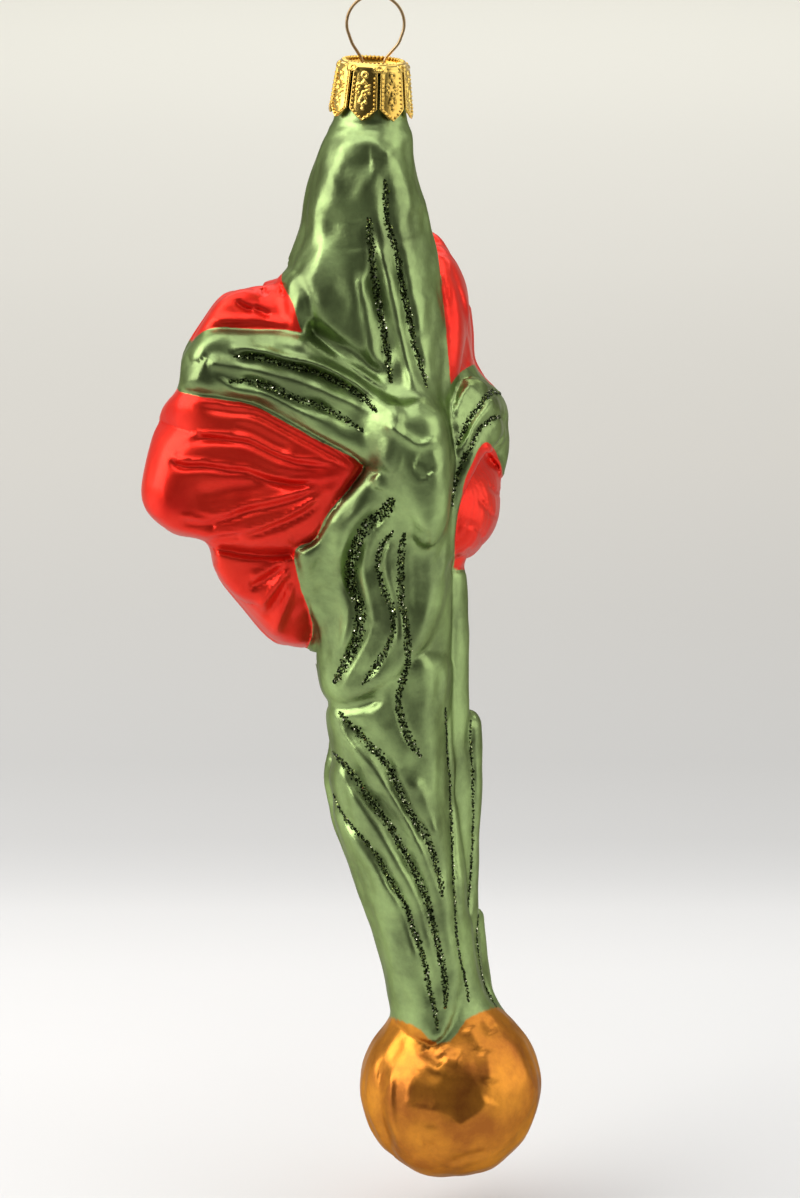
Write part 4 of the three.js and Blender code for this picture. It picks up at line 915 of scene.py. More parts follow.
amber = amber * (1 - at_back) + (-154.5 + 1.2 * np.sin(x * 0.9) - z) * at_back
off_stamens = stamens(x, y, z)
on_stamens = nearest["green"] - 0.4 - (off_stamens + 0.2)
amber = np.maximum(amber, np.minimum(on_stamens, 2.2 - np.abs(off_stamens) * 3))


def mesh_of(name, places, edges=(), faces=(), **point_values):
    """a mesh of places in metres, with named values at its points"""
    mesh = bpy.data.meshes.new(name)
    mesh.from_pydata(places, edges, faces)
    for label, values in point_values.items():
        layer = mesh.attributes.new(label, "FLOAT", "POINT")
        layer.data.foreach_set("value", np.array(values, np.float32))
    return mesh


glass_mesh = mesh_of("glass_body", points / 1000, faces=faces, red_inside=red, amber_inside=amber)
glass_mesh.polygons.foreach_set("use_smooth", np.ones(len(faces), bool))
glass_mesh.update()
glass_mesh.normals_split_custom_set_from_vertices(normals)
glass_piece = put_in_scene("blown_glass", glass_mesh)

# ---------------------------------------------------------------- blown glass: lacquer
# Thin coloured lacquer over silvering: light comes back through it as from tinted metal. It
# pools a little, so each colour has a lighter and a deeper tone, and brush edges wander.


def feed(tree, node, inputs):
    """gives each input of a node a value, or another node's output"""
    for key, value in inputs.items():
        if isinstance(value, bpy.types.NodeSocket):
            tree.links.new(value, node.inputs[key])
        else:
            node.inputs[key].default_value = value


def add(tree, kind, inputs, **settings):
    """a new node, set and fed; returns its outputs"""
    node = tree.nodes.new(kind)
    for name, value in settings.items():
        setattr(node, name, value)
    feed(tree, node, inputs)
    return node.outputs


def maths(tree, operation, *values):
    """a sum done with values or outputs"""
    return add(tree, "ShaderNodeMath", dict(enumerate(values)), operation=operation)[0]


def ranged(tree, value, ends, steps="LINEAR"):
    """a value moved from one range to another"""
    return add(tree, "ShaderNodeMapRange", {"Value": value, **ends}, interpolation_type=steps)["Result"]


def noise_in(tree, scale, detail, roughness=0.5):
    """noise that is fixed to the piece"""
    inputs = {"Vector": add(tree, "ShaderNodeTexCoord", {})["Object"], "Scale": scale}
    return add(tree, "ShaderNodeTexNoise", {**inputs, "Detail": detail, "Roughness": roughness})["Fac"]


def mix(tree, kind, factor, a, b):
    """a where the factor is 0, b where it is 1"""
    first, second, result = (6, 7, 2) if kind == "RGBA" else (2, 3, 0)
    return add(tree, "ShaderNodeMix", {"Factor": factor, first: a, second: b}, data_type=kind)[result]


def bumped(tree, height, strength, distance):
    """normals tilted by a fine height"""
    inputs = {"Height": height, "Strength": strength, "Distance": distance}
    return add(tree, "ShaderNodeBump", inputs)["Normal"]


def new_group(name, kind, inputs, outputs):
    """a node group with named inputs and outputs; returns it, what comes in, and its end node"""
    group = bpy.data.node_groups.new(name, kind)
    for label, holds, *default in inputs:
        socket = group.interface.new_socket(label, in_out="INPUT", socket_type="NodeSocket" + holds)
        if default:
            socket.default_value = default[0]
    for label, holds in outputs:
        group.interface.new_socket(label, in_out="OUTPUT", socket_type="NodeSocket" + holds)
    return group, group.nodes.new("NodeGroupInput").outputs, group.nodes.new("NodeGroupOutput")


def placed(tree, group, **values):
    """a node group placed in a material with its own values; returns its outputs"""
    return add(tree, "ShaderNodeGroup", values, node_tree=group)


def new_material(name, constants):
    """a material whose shader has these constants; returns it, its tree and the shader"""
    made = bpy.data.materials.new(name)
    made.use_nodes = True
    shader = made.node_tree.nodes["Principled BSDF"]
    feed(made.node_tree, shader, constants)
    return made, made.node_tree, shader


# brushed edge: turns a distance in millimetres into a mask with a wandering hand-painted rim
brushed_edge, given, end = new_group(
    "brushed_edge", "ShaderNodeTree",
    [("Distance", "Float", 0.0), ("Wander", "Float", 0.3), ("Softness", "Float", 0.12)],
    [("Mask", "Float")],
)
centred = maths(brushed_edge, "SUBTRACT", noise_in(brushed_edge, 700.0, 3.0, 0.6), 0.5)
shifted = maths(brushed_edge, "MULTIPLY_ADD", centred, given["Wander"], given["Distance"])
under = maths(brushed_edge, "MULTIPLY", given["Softness"], -1.0)
mask = ranged(brushed_edge, shifted, {"From Min": under, "From Max": given["Softness"]}, "SMOOTHSTEP")
feed(brushed_edge, end, {"Mask": mask})

# pooled lacquer: one colour that runs from a light to a deep tone, mottled at two sizes
pooled_lacquer, given, end = new_group(
    "pooled_lacquer", "ShaderNodeTree",
    [("Light", "Color"), ("Deep", "Color"), ("Balance", "Float", 0.5)],
    [("Color", "Color"), ("Depth", "Float")],
)
patches = noise_in(pooled_lacquer, 130.0, 2.0)
mottle = maths(pooled_lacquer, "MULTIPLY_ADD", noise_in(pooled_lacquer, 900.0, 4.0, 0.65), 0.35, patches)
deepest = maths(pooled_lacquer, "ADD", given["Balance"], 0.45)
pooled = ranged(pooled_lacquer, mottle, {"From Min": given["Balance"], "From Max": deepest})
tone = mix(pooled_lacquer, "RGBA", pooled, given["Light"], given["Deep"])
feed(pooled_lacquer, end, {"Color": tone, "Depth": pooled})

lacquer, tree, shader = new_material("silvered_lacquer", {
    "Specular Tint": (0.42, 0.42, 0.36, 1), "Coat Roughness": 0.12,
})
masks, coats = {}, {}
for name, wander, softness in (("red", 0.3, 0.1), ("amber", 1.3, 0.3)):
    distance = add(tree, "ShaderNodeAttribute", {}, attribute_name=name + "_inside")["Fac"]
    masks[name] = placed(tree, brushed_edge, Distance=distance, Wander=wander, Softness=softness)["Mask"]
for name, light, deep, balance in (
    ("green", (0.38, 0.52, 0.205, 1), (0.19, 0.25, 0.105, 1), 0.4),
    ("red", (0.97, 0.040, 0.020, 1), (0.85, 0.020, 0.012, 1), 0.5),
    ("amber", (0.82, 0.33, 0.038, 1), (0.43, 0.14, 0.024, 1), 0.4),
):
    coats[name] = placed(tree, pooled_lacquer, Light=light, Deep=deep, Balance=balance)["Color"]


def by_lacquer(kind, green, red, amber):
    """what differs between the three lacquers, where each of them lies"""
    return mix(tree, kind, masks["amber"], mix(tree, kind, masks["red"], green, red), amber)


feed(tree, shader, {
    "Base Color": by_lacquer("RGBA", coats["green"], coats["red"], coats["amber"]),
    "Roughness": by_lacquer("FLOAT", 0.34, 0.36, 0.32),
    "Metallic": by_lacquer("FLOAT", 0.95, 0.68, 0.85),
    "Coat Weight": mix(tree, "FLOAT", masks["red"], 0.0, 0.1),
    "Normal": bumped(tree, noise_in(tree, 420.0, 3.0), 0.35, 0.00025),
})
glass_mesh.materials.append(lacquer)

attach(glass_piece, "root")
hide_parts("glass_body")

# ---------------------------------------------------------------- glitter lines
# Coarse dark green glitter is strewn into lines of glue along the valleys of sepals and leaves.
# Each line is laid on the glass, and Geometry Nodes strew small facetted grains along it.
GRAIN = 0.165  # radius of a grain
JUMP = 2.5  # a wider gap between two landed places parts a line

glass_tree = BVHTree.FromPolygons([Vector(p) for p in points], faces.tolist())


def dropped(points_2d, from_near):
    """a line on the sheet, dropped onto the glass: its longest unbroken run"""
    landed = []
    for px, pz in through(points_2d, (len(points_2d) - 1) * 8):
        if from_near:
            start = Vector(EYE)
            way = (Vector((px, 0, pz)) - start).normalized()
        else:
            start, way = Vector((px, FAR, pz)), Vector((0, -1, 0))
        hit = glass_tree.ray_cast(start, way)[0]
        if hit is None or (landed and (hit - landed[-1][-1]).length > JUMP):
            landed.append([])
        if hit is not None:
            landed = landed or [[]]
            landed[-1].append(hit)
        landed = [run for run in landed if run]
    return max(landed, key=len)


line_points, line_edges, line_widths = [], [], []
for valleys, from_near in ((VALLEYS, True), (FAR_VALLEYS, False)):
    for _, _, half_width, points_2d in valleys:
        landed = dropped(points_2d, from_near)
        for _ in range(max(2, round(half_width / 0.1))):  # a wider line takes more grains
            first = len(line_points)
            for i, p in enumerate(landed):
                from_end = min(i, len(landed) - 1 - i) / 5
                line_points.append(p / 1000)
                line_widths.append(half_width / 1000 * min(0.35 + 0.65 * from_end, 1))
            line_edges += [(first + i, first + i + 1) for i in range(len(landed) - 1)]
line_mesh = mesh_of("glitter_lines", line_points, line_edges, half_width=line_widths)
line_object = put_in_scene("glitter_lines", line_mesh)


def ramped(tree, value, stops):
    """a value turned into a colour, from stops of (value, colour)"""
    ramp = tree.nodes.new("ShaderNodeValToRGB")
    for _ in stops[2:]:
        ramp.color_ramp.elements.new(0.5)
    for element, (place, colour) in zip(ramp.color_ramp.elements, stops):
        element.position = place
        element.color = colour
    feed(tree, ramp, {"Fac": value})
    return ramp.outputs["Color"]


glitter_look, tree, shader = new_material("dark_green_glitter", {"Metallic": 1.0})
tint = add(tree, "ShaderNodeAttribute", {}, attribute_name="tint")["Fac"]
feed(tree, shader, {
    "Base Color": ramped(tree, tint, [
        (0.0, (0.010, 0.014, 0.006, 1)), (0.45, (0.022, 0.034, 0.012, 1)),
        (0.78, (0.075, 0.11, 0.03, 1)), (0.93, (0.25, 0.30, 0.10, 1)), (1.0, (0.95, 0.95, 0.72, 1)),
    ]),
    "Roughness": ranged(tree, tint, {"To Min": 0.42, "To Max": 0.12}),
})


def node_tool(name, inputs):
    """an empty Geometry Nodes tree; returns it, what comes in, and its end node"""
    shape = [("Geometry", "Geometry")]
    return new_group(name, "GeometryNodeTree", shape + inputs, shape)


def end_tool(tool, shape, end, look, smooth=True):
    """closes a Geometry Nodes tree: real geometry with its material"""
    shape = add(tool, "GeometryNodeRealizeInstances", {"Geometry": shape})["Geometry"]
    if smooth:
        shape = add(tool, "GeometryNodeSetShadeSmooth", {"Geometry": shape})["Geometry"]
    shape = add(tool, "GeometryNodeSetMaterial", {"Geometry": shape, "Material": look})["Geometry"]
    feed(tool, end, {"Geometry": shape})


def plain_mesh(carrier):
    """an object's mesh with its modifiers worked out"""
    bpy.context.view_layer.update()
    return bpy.data.meshes.new_from_object(carrier.evaluated_get(bpy.context.evaluated_depsgraph_get()))


def run_tool(carrier, tool, name, values):
    """runs a Geometry Nodes tree on an object and returns the result as a plain object"""
    modifier = carrier.modifiers.new(name, "NODES")
    modifier.node_group = tool
    for item in tool.interface.items_tree:
        if item.in_out == "INPUT" and item.name in values:
            modifier[item.identifier] = values[item.name]
    made = plain_mesh(carrier)
    carrier.modifiers.remove(modifier)
    made.name = name
    bpy.data.objects.remove(carrier)
    return put_in_scene(name, made)


strew, given, end = node_tool("strew_glitter", [
    ("Glass", "Object"), ("Grain radius", "Float", 0.000165), ("Spacing", "Float", 0.00026),
    ("Seed", "Int", 3), ("Finish", "Material"),
])


def random_in(kind, **limits):
    """a value of its own for each grain, from the tree's seed"""
    inputs = {"Seed": given["Seed"], **limits}
    return add(strew, "FunctionNodeRandomValue", inputs, data_type=kind)


dots = add(strew, "GeometryNodeCurveToPoints", {
    "Curve": add(strew, "GeometryNodeMeshToCurve", {"Mesh": given["Geometry"]})["Curve"],
    "Length": given["Spacing"],
}, mode="LENGTH")
width = add(strew, "GeometryNodeInputNamedAttribute", {"Name": "half_width"})["Attribute"]
aside = random_in("FLOAT_VECTOR", Min=(-1, -1, -1), Max=(1, 1, 1))[0]
aside = add(strew, "ShaderNodeVectorMath", {0: aside, "Scale": width}, operation="SCALE")[0]
grains = add(strew, "GeometryNodeSetPosition", {"Geometry": dots["Points"], "Offset": aside})["Geometry"]
glass_shape = add(strew, "GeometryNodeObjectInfo", {"Object": given["Glass"]})["Geometry"]
on_glass = add(strew, "GeometryNodeProximity", {0: glass_shape})["Position"]
grains = add(strew, "GeometryNodeSetPosition", {"Geometry": grains, "Position": on_glass})["Geometry"]
grain = add(strew, "GeometryNodeMeshCylinder", {
    "Vertices": 5, "Radius": given["Grain radius"],
    "Depth": maths(strew, "MULTIPLY", given["Grain radius"], 0.9),
})["Mesh"]
grains = add(strew, "GeometryNodeInstanceOnPoints", {
    "Points": grains, "Instance": grain,
    "Rotation": random_in("FLOAT_VECTOR", Max=(6.283, 6.283, 6.283))[0],
    "Scale": add(strew, "FunctionNodeRandomValue", {2: 0.55, 3: 1.25}, data_type="FLOAT")[1],
})["Instances"]
grains = add(strew, "GeometryNodeStoreNamedAttribute", {
    "Geometry": grains, "Name": "tint", "Value": random_in("FLOAT")[1],
}, domain="INSTANCE")["Geometry"]
end_tool(strew, grains, end, given["Finish"], smooth=False)
glitter = run_tool(line_object, strew, "glitter", {
    "Glass": glass_piece, "Grain radius": GRAIN / 1000, "Spacing": 0.00026,
    "Seed": 3, "Finish": glitter_look,
})
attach(glitter, "root")

# ---------------------------------------------------------------- crown cap
# A stamping of thin gilt sheet: a dished top with a milled rim, and a skirt slit into eight
# tabs with pointed ends, each pressed with a beaded border and a small flower.
TABS = 8
FIRST_SLIT = math.radians(10.5)
SLIT_TOP = 0.95  # depth at which the slits begin
SLIT = 0.3  # width of a slit
TAB_FOOT = 7.9
POINT = 1.7  # height of a tab's point
POINT_TOP = TAB_FOOT - POINT
CAP_SHEET = 0.3  # thickness of the sheet
LEG_GAP = 1.6  # from the cap's middle to each leg of the wire
SKIRT = [[0.05, 4.65], [0.3, 4.84], [0.8, 5.06], [3.5, 5.4], [TAB_FOOT, 5.95]]  # depth, radius


def skirt_radius(depth):
    """radius of the skirt at a depth below the cap's top"""
    return np.interp(depth, *zip(*SKIRT))


def half_arc(depth):
    """half the width of a tab at a depth below the cap's top"""
    full = math.pi / TABS * skirt_radius(depth)
    cut = full - SLIT / 2 * ease(depth, SLIT_TOP - 0.3, SLIT_TOP)
    tip = np.clip((depth - POINT_TOP) / POINT, 0, 1)
    return cut * (1 - tip**1.15) + 0.03 * tip


def tab_middle(tab):
    """the angle of a tab's middle"""
    return -math.pi / 2 + FIRST_SLIT + math.pi / TABS + tab * 2 * math.pi / TABS


# ornament of a tab: rings [off the middle, depth, radius] and grains [off, depth, length, breadth, turn]
STAMPED = 0.2  # how far the ornament stands out
TAB_RINGS = [[0, 1.45, 0.36], [-0.8, 3.05, 0.26], [-0.85, 3.8, 0.24], [0.1, 4.05, 0.28]]
TAB_GRAINS = [
    [0, 2.35, 0.34, 0.14, 90], [-0.28, 2.6, 0.24, 0.12, 120], [0.28, 2.6, 0.24, 0.12, 60],
    [0.55, 3.0, 0.42, 0.15, -25], [0.6, 3.5, 0.36, 0.13, -25], [0.75, 3.95, 0.16, 0.16, 0],
    [-0.3, 4.65, 0.38, 0.13, -60], [0.3, 4.65, 0.38, 0.13, 60], [-0.45, 5.25, 0.2, 0.2, 0],
    [0.35, 5.25, 0.2, 0.2, 0], [-0.05, 5.55, 0.26, 0.2, 90], [0, 6.15, 0.16, 0.16, 0],
]


def tab_relief(across, depth, edge):
    """how far the stamping stands out: pillow, raised frame with cut corners, rings and grains"""
    corner = (edge + depth - 0.95) * 0.7
    inset = np.minimum(np.minimum(edge, depth - 0.12), corner)
    raised_frame = STAMPED * np.exp(-(((inset - 0.2) / 0.12) ** 2)) * (depth > 0.1)
    relief = 0.10 * ease(edge, 0.1, 0.6) + raised_frame
    relief -= 0.08 * ease(inset, 0.4, 0.7)
    for off, deep, radius in TAB_RINGS:
        relief += STAMPED * np.exp(-(((np.hypot(across - off, depth - deep) - radius) / 0.1) ** 2))
    for off, deep, long, broad, degrees in TAB_GRAINS:
        c, s = math.cos(math.radians(degrees)), math.sin(math.radians(degrees))
        dx, dy = across - off, depth - deep
        spread = ((dx * c + dy * s) / long) ** 2 + ((dy * c - dx * s) / broad) ** 2
        relief += STAMPED * np.exp(-(spread**2))
    return relief


cap_points, cap_faces = [], []
columns = 36
rows_in = 0.1
depths = np.concatenate([np.arange(0.05, POINT_TOP, rows_in), np.linspace(POINT_TOP, TAB_FOOT, 14)])
u = np.linspace(-1, 1, columns + 1)
for tab in range(TABS):
    first = len(cap_points)
    for depth in depths:
        across = u * half_arc(depth)
        radius = skirt_radius(depth)
        edge = (1 - np.abs(u)) * half_arc(depth)
        edge = np.where(depth > SLIT_TOP, edge, np.maximum(edge, 0.35))
        r = radius + tab_relief(across, depth, edge) * ease(depth, 0.1, 0.5)
        angle = tab_middle(tab) + across / radius
        cap_points += list(zip(r * np.cos(angle), r * np.sin(angle), np.full(len(u), -depth)))
    for i in range(len(depths) - 1):
        for j in range(columns):
            a = first + i * (columns + 1) + j
            cap_faces.append((a, a + columns + 1, a + columns + 2, a + 1))
TOP_ROWS = [  # radius and height, from the rim inwards
    (4.65, -0.05), (4.62, 0.03), (4.54, 0.09), (4.44, 0.1), (4.34, 0.06), (4.27, -0.02), (4.24, -0.2),
    (4.2, -0.5), (4.12, -0.8), (3.96, -0.94), (3.6, -0.98), (3.0, -0.98), (2.2, -0.97), (1.1, -0.96),
    (0.4, -0.96),
]
around = TABS * columns
first = len(cap_points)
for r, height in TOP_ROWS:
    for k in range(around):
        angle = -math.pi / 2 + FIRST_SLIT + k * 2 * math.pi / around
        cap_points.append((r * math.cos(angle), r * math.sin(angle), height))
for i in range(len(TOP_ROWS) - 1):
    for k in range(around):
        a, b = first + i * around + k, first + i * around + (k + 1) % around
        cap_faces.append((a, b, b + around, a + around))
last = first + (len(TOP_ROWS) - 1) * around
cap_faces.append(tuple(last + k for k in range(around)))


def lean_with_cap(mesh):
    """puts a mesh made upright at the origin where the leaning cap is"""
    mesh.transform(Matrix.Translation([v / 1000 for v in CAP_CENTRE]) @ Matrix.Rotation(CAP_TILT, 4, "Y"))


cap_mesh = mesh_of("crown_cap_sheet", np.array(cap_points) / 1000, faces=cap_faces)
work = bmesh.new()
work.from_mesh(cap_mesh)
bmesh.ops.remove_doubles(work, verts=work.verts, dist=2e-5)
bmesh.ops.recalc_face_normals(work, faces=work.faces)
if max(work.faces, key=lambda f: f.calc_center_median().z).normal.z < 0:
    bmesh.ops.reverse_faces(work, faces=work.faces)
work.to_mesh(cap_mesh)
work.free()
cap_mesh.polygons.foreach_set("use_smooth", np.ones(len(cap_mesh.polygons), bool))
cap_sheet = put_in_scene("crown_cap_sheet", cap_mesh)
thickness = cap_sheet.modifiers.new("thickness", "SOLIDIFY")
thickness.thickness = CAP_SHEET / 1000
thickness.offset = -1.0
spares = [cap_sheet]
for side in (-1, 1):  # a hole for each leg of the wire is punched through the top
    place = (side * LEG_GAP / 1000, 0, -0.00065)
    bpy.ops.mesh.primitive_cylinder_add(vertices=20, radius=0.0005, depth=0.003, location=place)
    spares.append(bpy.context.object)
    punched = cap_sheet.modifiers.new("leg_hole", "BOOLEAN")
    punched.object = bpy.context.object
    punched.operation = "DIFFERENCE"
cap_final = plain_mesh(cap_sheet)
lean_with_cap(cap_final)
crown_cap = put_in_scene("crown_cap_stamping", cap_final)
for spare in spares:
    bpy.data.objects.remove(spare)

# beads of the tab borders and an eyelet over each slit
BORDER_BEAD, EYELET_BEAD = 0.19, 0.13
EYELET_BEADS, EYELET_R, EYELET_DEPTH = 16, 0.38, 0.6
bead_points, bead_sizes = [], []


def add_bead(angle, depth, lift, radius):
    """a bead on the skirt, its centre lifted off the sheet"""
    r = skirt_radius(depth) + lift
    bead_points.append((r * math.cos(angle) / 1000, r * math.sin(angle) / 1000, -depth / 1000))
    bead_sizes.append(radius / 1000)


for tab in range(TABS):
    middle = tab_middle(tab)
    for side in (-1, 1):
        depth = 1.9
        while depth < TAB_FOOT - 0.6:
            inset = 0.47 if depth < POINT_TOP else 0.5
            reach = half_arc(np.array(depth)) - inset
            if reach > 0.04:
                add_bead(middle + side * reach / skirt_radius(depth), depth, 0.1, BORDER_BEAD)
            depth += 0.6 if depth < POINT_TOP - 0.3 else 0.4
    slit = middle - math.pi / TABS
    for k in range(EYELET_BEADS):
        turn = k * 2 * math.pi / EYELET_BEADS
        angle = slit + EYELET_R * math.cos(turn) / 5.0
        add_bead(angle, EYELET_DEPTH + EYELET_R * math.sin(turn), 0.08, EYELET_BEAD)
bead_places = put_in_scene("bead_places", mesh_of("bead_places", bead_points, bead_radius=bead_sizes))


def metal(name, light, deep, balance, polished, dull):
    """a metal whose colour and polish change together; returns it, its tree and its shader"""
    made, tree, shader = new_material(name, {"Metallic": 1.0})
    tarnish = placed(tree, pooled_lacquer, Light=light, Deep=deep, Balance=balance)
    worn = ranged(tree, tarnish["Depth"], {"To Min": polished, "To Max": dull})
    feed(tree, shader, {"Base Color": tarnish["Color"], "Roughness": worn})
    return made, tree, shader


gilt, tree, shader = metal(
    "gilt_stamping", (1.0, 0.72, 0.19, 1), (0.62, 0.37, 0.065, 1), 0.45, 0.14, 0.28
)
feed(tree, shader, {"Normal": bumped(tree, noise_in(tree, 2600.0, 2.0), 0.25, 0.00006)})

# the beads are set on their places, and the milled teeth of the rim on a circle
emboss, given, end = node_tool("emboss_beads", [
    ("Rim teeth", "Int", 44), ("Rim radius", "Float", 0.00425), ("Tooth size", "Vector"),
    ("Rim lift", "Vector"), ("Finish", "Material"),
])
bead = add(emboss, "GeometryNodeMeshIcoSphere", {"Radius": 1.0, "Subdivisions": 2})["Mesh"]
bead_size = add(emboss, "GeometryNodeInputNamedAttribute", {"Name": "bead_radius"})["Attribute"]
beads = add(emboss, "GeometryNodeInstanceOnPoints", {
    "Points": given["Geometry"], "Instance": bead, "Scale": bead_size,
})["Instances"]
rim = add(emboss, "GeometryNodeCurvePrimitiveCircle", {"Radius": given["Rim radius"]})["Curve"]
rim = add(emboss, "GeometryNodeSetPosition", {"Geometry": rim, "Offset": given["Rim lift"]})["Geometry"]
places = add(emboss, "GeometryNodeCurveToPoints", {
    "Curve": rim, "Count": given["Rim teeth"],
}, mode="COUNT")
tooth = add(emboss, "GeometryNodeMeshUVSphere", {"Segments": 8, "Rings": 6, "Radius": 1.0})["Mesh"]
teeth = add(emboss, "GeometryNodeInstanceOnPoints", {
    "Points": places["Points"], "Instance": tooth, "Rotation": places["Rotation"],
    "Scale": given["Tooth size"],
})["Instances"]
teeth = add(emboss, "GeometryNodeRotateInstances", {
    "Instances": teeth, "Rotation": (0.55, 0.0, 0.0),
})["Instances"]
joined = emboss.nodes.new("GeometryNodeJoinGeometry")
for shape in (beads, teeth):
    feed(emboss, joined, {"Geometry": shape})
end_tool(emboss, joined.outputs["Geometry"], end, given["Finish"])
cap_beads = run_tool(bead_places, emboss, "crown_cap_beads", {
    "Rim teeth": 44, "Rim radius": 0.00425, "Tooth size": (0.0004, 0.0004, 0.00022),
    "Rim lift": (0.0, 0.0, -0.00012), "Finish": gilt,
})
lean_with_cap(cap_beads.data)
crown_cap.data.materials.clear()
crown_cap.data.materials.append(gilt)
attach(crown_cap, "root")
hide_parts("crown_cap")
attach(cap_beads, "root")

# ---------------------------------------------------------------- wire hanger
# One length of thin spring wire, bronze in colour: bent into a ring, crossed into the cap and
# left with two legs that spread inside the neck and hold the cap down.
WIRE_R = 0.22
RING_R = 4.1
RING_BENDS = 14
OPENING = math.radians(65)  # half the arc that the ring leaves open over the cap


def neck_axis(height):
    """where the leaning neck's axis is at a height, eased to the ring's middle above the cap"""
    lean = CAP_CENTRE[0] + (height - CAP_CENTRE[2]) * math.tan(CAP_TILT)
    return lean * float(ease(-height, 6, 9))


# a leg from its foot up: how far off the axis, and height
LEG = [(2.6, -24.5), (2.3, -20), (1.65, -13), (LEG_GAP, -9.8), (1.7, -8.9), (2.35, -7.95), (3.25, -6.75)]
ring_middle = -(RING_R - WIRE_R)
path = [(neck_axis(h) + a, 0, h) for a, h in LEG]
for i in range(RING_BENDS + 1):
    turn = OPENING + i / RING_BENDS * 2 * (math.pi - OPENING)
    path.append((RING_R * math.sin(turn), 0, ring_middle - RING_R * math.cos(turn)))
path += [(neck_axis(h) - a, 0, h) for a, h in reversed(LEG)]
wire_line = through(path, 260) / 1000
wire_edges = [(i, i + 1) for i in range(len(wire_line) - 1)]
wire_path = put_in_scene("wire_path", mesh_of("wire_path", wire_line, wire_edges))

bronze = metal("bronze_wire", (0.68, 0.50, 0.28, 1), (0.36, 0.23, 0.11, 1), 0.4, 0.22, 0.4)[0]

bend, given, end = node_tool("bend_wire", [
    ("Wire radius", "Float", 0.00022), ("Sides", "Int", 14), ("Finish", "Material"),
])
section = add(bend, "GeometryNodeCurvePrimitiveCircle", {
    "Resolution": given["Sides"], "Radius": given["Wire radius"],
})["Curve"]
wire = add(bend, "GeometryNodeCurveToMesh", {
    "Curve": add(bend, "GeometryNodeMeshToCurve", {"Mesh": given["Geometry"]})["Curve"],
    "Profile Curve": section, "Fill Caps": True,
})["Mesh"]
end_tool(bend, wire, end, given["Finish"])
hanger = run_tool(wire_path, bend, "wire_ring_hanger", {
    "Wire radius": WIRE_R / 1000, "Sides": 14, "Finish": bronze,
})
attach(hanger, "root")
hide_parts("wire_hanger")

# ---------------------------------------------------------------- floor and light
# The ornament hangs just over a flat white sheet whose colour carries painted light and shade along it:
# painted shade in front of the ornament and in a grey band where a sweep would rise, painted light in the
# warm white far back.
# Broad soft lights stand left, right and above; the side towards the eye is darker.
FLOOR = -0.187
FLOOR_RINGS, SPOKES = 40, 96
# painted light and shade on the flat floor: for each place towards the back, the grey painted there
PAPER_LIGHT_AND_SHADE = [  # place towards the back in metres, grey
    (-0.5, 0.18), (-0.22, 0.27), (-0.1, 0.55), (-0.03, 0.66), (0.06, 0.67), (0.1, 0.65), (0.131, 0.60),
    (0.15, 0.53), (0.17, 0.485), (0.22, 0.455), (0.34, 0.485), (0.5, 0.55), (0.8, 0.63), (1.1, 0.67),
    (1.6, 0.775),
]

spoke_turns = [k * 2 * math.pi / SPOKES for k in range(SPOKES)]
floor_points = [(0, 0, FLOOR)]
for i in range(FLOOR_RINGS):
    r = 0.02 * 1.16**i
    floor_points += [(r * math.cos(turn), r * math.sin(turn), FLOOR) for turn in spoke_turns]
floor_faces = [(0, 1 + k, 1 + (k + 1) % SPOKES) for k in range(SPOKES)]
for i in range(FLOOR_RINGS - 1):
    for k in range(SPOKES):
        a, b = 1 + i * SPOKES + k, 1 + i * SPOKES + (k + 1) % SPOKES
        floor_faces.append((a, a + SPOKES, b + SPOKES, b))
floor_mesh = mesh_of("floor", floor_points, faces=floor_faces)
floor = put_in_scene("floor", floor_mesh)
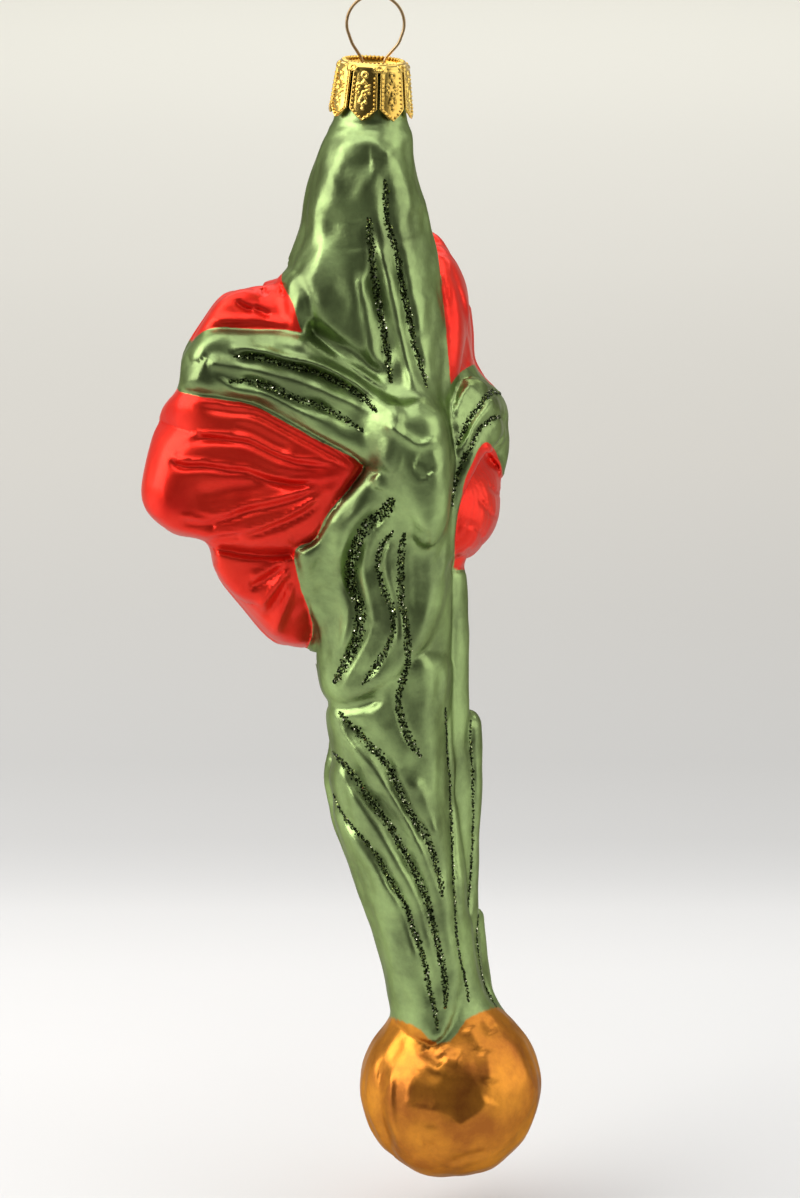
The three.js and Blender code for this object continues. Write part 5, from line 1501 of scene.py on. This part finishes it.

# the floor's colour is the painted light and shade, read by how far back each place lies
paper, tree, shader = new_material("paper_painted_light_and_shade", {"Roughness": 0.9, "Specular IOR Level": 0.1})
front, back = PAPER_LIGHT_AND_SHADE[0][0], PAPER_LIGHT_AND_SHADE[-1][0]
painted_tones = []
for place, painted_grey in PAPER_LIGHT_AND_SHADE:
    warmth = min(max((place - 0.15) / 0.3, 0), 1)
    far_off = min(max(place - 0.46, 0), 1)
    green_part = painted_grey * (1 - 0.03 * warmth + 0.01 * far_off)
    blue_part = painted_grey * (1 - 0.09 * warmth - 0.027 * far_off)
    painted_tones.append(((place - front) / (back - front), (painted_grey, green_part, blue_part, 1)))
apart = add(tree, "ShaderNodeSeparateXYZ", {0: add(tree, "ShaderNodeTexCoord", {})["Object"]})
towards_back = ranged(tree, apart["Y"], {"From Min": front, "From Max": back})
feed(tree, shader, {"Base Color": ramped(tree, towards_back, painted_tones)})
floor_mesh.materials.append(paper)


def softbox(name, place, aim, width, height, power, tint=(1, 1, 1)):
    """a soft lamp that faces its aim; sizes in metres, power in watts"""
    light = bpy.data.lights.new(name, "AREA")
    light.shape = "RECTANGLE"
    light.size = width
    light.size_y = height
    light.energy = power
    light.color = tint
    box = put_in_scene(name, light)
    box.location = place
    box.rotation_euler = (Vector(aim) - Vector(place)).to_track_quat("-Z", "Y").to_euler()


MIDDLE = (0, 0, -0.09)  # of the ornament
WARM = (1, 0.985, 0.95)
softbox("left_softbox", (-0.60, -0.15, 0.24), MIDDLE, 0.7, 0.7, 5.0, WARM)
softbox("right_softbox", (0.62, -0.10, 0.08), MIDDLE, 0.6, 0.9, 1.9, WARM)
softbox("top_softbox", (-0.1, 0.0, 0.60), MIDDLE, 0.8, 0.7, 3.2)
softbox("back_softbox", (0.0, 1.30, 0.75), (0, 1.3, FLOOR), 1.6, 1.0, 10)

# the room is dark low down on the eye's side
world = bpy.data.worlds.new("studio")
bpy.context.scene.world = world
world.use_nodes = True
tree = world.node_tree
split = add(tree, "ShaderNodeSeparateXYZ", {0: add(tree, "ShaderNodeTexCoord", {})["Generated"]})
ahead = ranged(tree, split["Y"], {"From Min": -0.35, "From Max": -0.95}, "SMOOTHSTEP")
low = ranged(tree, split["Z"], {"From Min": 0.8, "From Max": 0.45}, "SMOOTHSTEP")
dark = maths(tree, "MULTIPLY", ahead, low)
feed(tree, tree.nodes["Background"], {
    "Color": (0.97, 0.965, 0.94, 1), "Strength": ranged(tree, dark, {"To Min": 0.48, "To Max": 0.05}),
})
